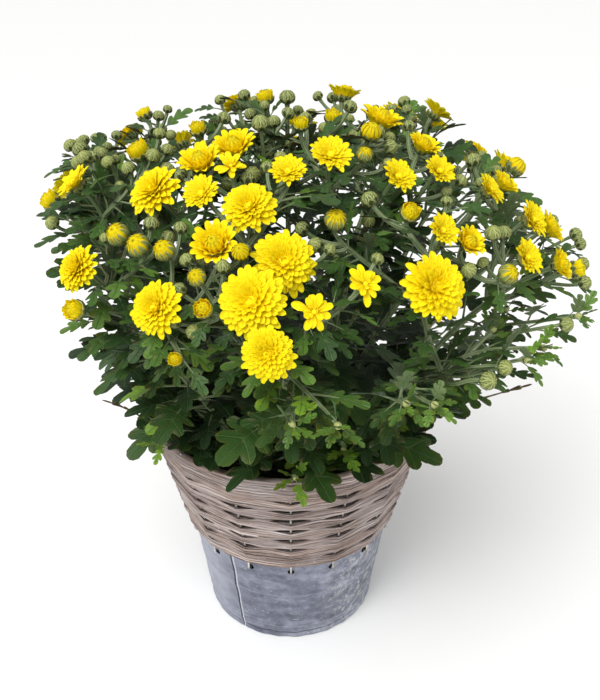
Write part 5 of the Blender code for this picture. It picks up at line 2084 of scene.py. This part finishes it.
def bud_scale_green():
    """Bud scales: yellow-green, darker down the middle, with pale thin edges that show as ribs."""
    made, tree, shader = bare_finish("bud_scale", 0.55, 0.0, 0.35)
    along, across, number = grain_in(tree)[1:]
    place = place_in(tree)
    patch = times(tree, sums(tree, "SUBTRACT", cloudy(tree, place, 240, 2), 0.5), 0.4)
    green = tones(tree, sums(tree, "ADD", number, patch), (0.10, (0.040, 0.065, 0.018)),
                  (0.40, (0.085, 0.125, 0.030)), (0.80, (0.200, 0.240, 0.050)))
    edge = past(tree, sums(tree, "ABSOLUTE", across), 0.52, 2.6)
    tip = past(tree, along, 0.86, 5.0)
    pale = times(tree, sums(tree, "MAXIMUM", edge, tip), 0.72)
    painted(tree, shader, blended(tree, pale, green, (0.50, 0.52, 0.20)))
    raised(tree, shader, cloudy(tree, place, 1600, 2), 0.0002)
    return made


def yellow_petal(name, edge_colour, edge_share):
    """Ray petals: bright lemon yellow, deeper at the foot, finely grooved, with edges of another tone: pale
    on open petals, and on folded petals a dark painted shade for the valleys between them.
    """
    made, tree, shader = bare_finish(name, 0.60, 0.0, 0.12)
    along, across, number = grain_in(tree)[1:]
    yellow = tones(tree, along, (0.0, (0.86, 0.52, 0.001)), (0.30, (0.95, 0.67, 0.001)),
                   (0.70, (1.0, 0.77, 0.002)), (1.0, (1.0, 0.84, 0.006)))
    yellow = blended(tree, times(tree, number, 0.25), yellow, (0.93, 0.64, 0.001))
    edge = sums(tree, "POWER", sums(tree, "ABSOLUTE", across), 3.0)
    yellow = blended(tree, times(tree, edge, edge_share), yellow, edge_colour)
    mottled = times(tree, cloudy(tree, place_in(tree), 300, 3), 0.08)
    painted(tree, shader, blended(tree, mottled, yellow, (1.0, 0.86, 0.03)))
    translucent(shader, 0.20, 0.002)
    shader.inputs["Subsurface Radius"].default_value = (1.0, 0.8, 0.02)
    raised(tree, shader, sums(tree, "SINE", times(tree, across, 8.5)), 0.00012)
    return made


STEM_FINISH, LEAF_FINISH, SCALE_FINISH, PETAL_FINISH, UNDER_FINISH, FOLDED_FINISH, DRY_FINISH = range(7)
open_petal = yellow_petal("yellow_petal", (1.0, 0.86, 0.03), 0.30)
# The folded petals' dark orange-brown edges are painted shade, for the valleys between them
folded_petal = yellow_petal("folded_petal", (0.44, 0.29, 0.012), 0.80)
# Dead leaf and petal: dull brown, paler in patches
dried = clouded("dried", (0.85, 0.0, 0.15), (260, 4, 0.6), (
    (0.35, (0.055, 0.040, 0.022)), (0.65, (0.21, 0.155, 0.085))), (900, 3), 0.0004)
plant_finishes = (ribbed_stem(), leaf_green(), bud_scale_green(), open_petal, leaf_underside(), folded_petal,
                  dried)
HEAD_MAKERS = {
    "bud": green_bud,
    "tuft": young_tip,
    "fresh": young_tip,
    "withered": withered_bloom,
    "dry": dry_leaf,
    "yellow": yellow_bud,
    "bloom": bloom_cup,
    "half": opening_head,
    "cup": opening_head,
}
growths = [Growth() for _ in stems]
rng = random.Random(31)
for shoot in shoots:
    number = rng.random()
    grow_stem(growths[shoot.stem], shoot, number)
    HEAD_MAKERS[shoot.kind](growths[shoot.stem], shoot, number)
for leaf in leaves:
    edge = BIG_EDGE if leaf.lobed else SMALL_EDGE
    grow_leaf(growths[leaf.stem], leaf, 0.12 + 0.45 * rng.random(), edge, 2)
for leaf, tone in fine_leaves:
    edge = MIDDLE_EDGE if leaf.lobed else SMALL_EDGE
    grow_leaf(growths[leaf.stem], leaf, min(max(tone, 0.02), 0.98), edge, 2 if leaf.lobed else 1)


# Each open bloom is a cushion of ray petals on one close spiral, from the long level petals at its edge
# to the short upright ones in its middle. Small blooms are still cups, and loose ones have few petals.
# How many petals a bloom has, their half width, the height of their tips in the middle and at the edge,
# and how late the cushion falls from the one to the other
BLOOM_KINDS = {
    "full": (100, 0.063, 0.29, 0.02, 3.2),
    "small": (66, 0.064, 0.23, 0.22, 1.6),
    "loose": (16, 0.090, 0.22, 0.10, 1.5),
}
BLOOM_REACH = 0.49
# A petal is this much longer than the straight way from its foot to its tip
PETAL_ARC = 1.04
# The closed ball of the youngest petals in a bloom's middle, and the same in a loose bloom
BLOOM_CORE = 0.19
LOOSE_CORE = 0.6
# How much more the petals of a loose bloom differ from each other
LOOSE_SPREAD = 4.5


def spiral_petals(growth, place, axis, width, kind, turn):
    """The petals of a bloom, outermost first; all sizes are parts of the bloom's width."""
    count, half, middle_tip, edge_tip, power = BLOOM_KINDS[kind]
    across, up = square_to(axis, HEAD_TURN)
    loose = LOOSE_SPREAD if kind == "loose" else 1.0
    core = round_profile(BLOOM_CORE * width * (LOOSE_CORE if kind == "loose" else 1.0), 1.0, 6)
    growth.add(*ball(place + axis * (0.03 * width), axis, core, 12), 0)
    for i in range(count):
        # How far out a petal's tip lies, 1 at the edge; the feet stand on a low cone
        out = sqrt(1 - (i + 0.3) / count)
        spoke = swung(across, up, turn + i * GOLDEN_TURN + rng.uniform(-0.08, 0.08))
        foot = 0.02 + 0.05 * out
        low = 0.13 - 0.095 * out
        reach = BLOOM_REACH * out * (1 + rng.uniform(-0.05, 0.05) * loose) - foot
        rise = middle_tip + (edge_tip - middle_tip) * out ** power - low
        slope = atan2(rise, reach) + rng.uniform(-0.09, 0.09) * loose
        curl = 0.42 * out - 0.10 + rng.uniform(-0.10, 0.10) * loose
        wide = half * width * between((0.50, 1.0), smooth_step(0.1, 0.9, out)) * rng.uniform(0.88, 1.12)
        start = place + axis * (low * width) + spoke * (foot * width)
        stations = curved_strip(start, spoke, axis, PETAL_ARC * width * hypot(reach, rise),
                                lambda s: slope + curl * (1 - 2 * s), wide, 0.35)
        growth.add(*blade(stations, 3 if out > 0.8 else 2, PETAL_THICK, rng.random()), 0)


for index, (place, facing, width, kind, turn) in enumerate(blooms):
    bloom = Growth()
    spiral_petals(bloom, place, facing, width, kind, turn)
    piece = bloom.finish(f"ray_petals_{index + 1:02d}", open_petal)
    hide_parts(f"bloom_{index + 1:02d}")

for index, growth in enumerate(growths):
    piece = growth.finish(f"stem_and_leaves_{index + 1:02d}", *plant_finishes)
    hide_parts(f"leafy_stem_{index + 1:02d}")
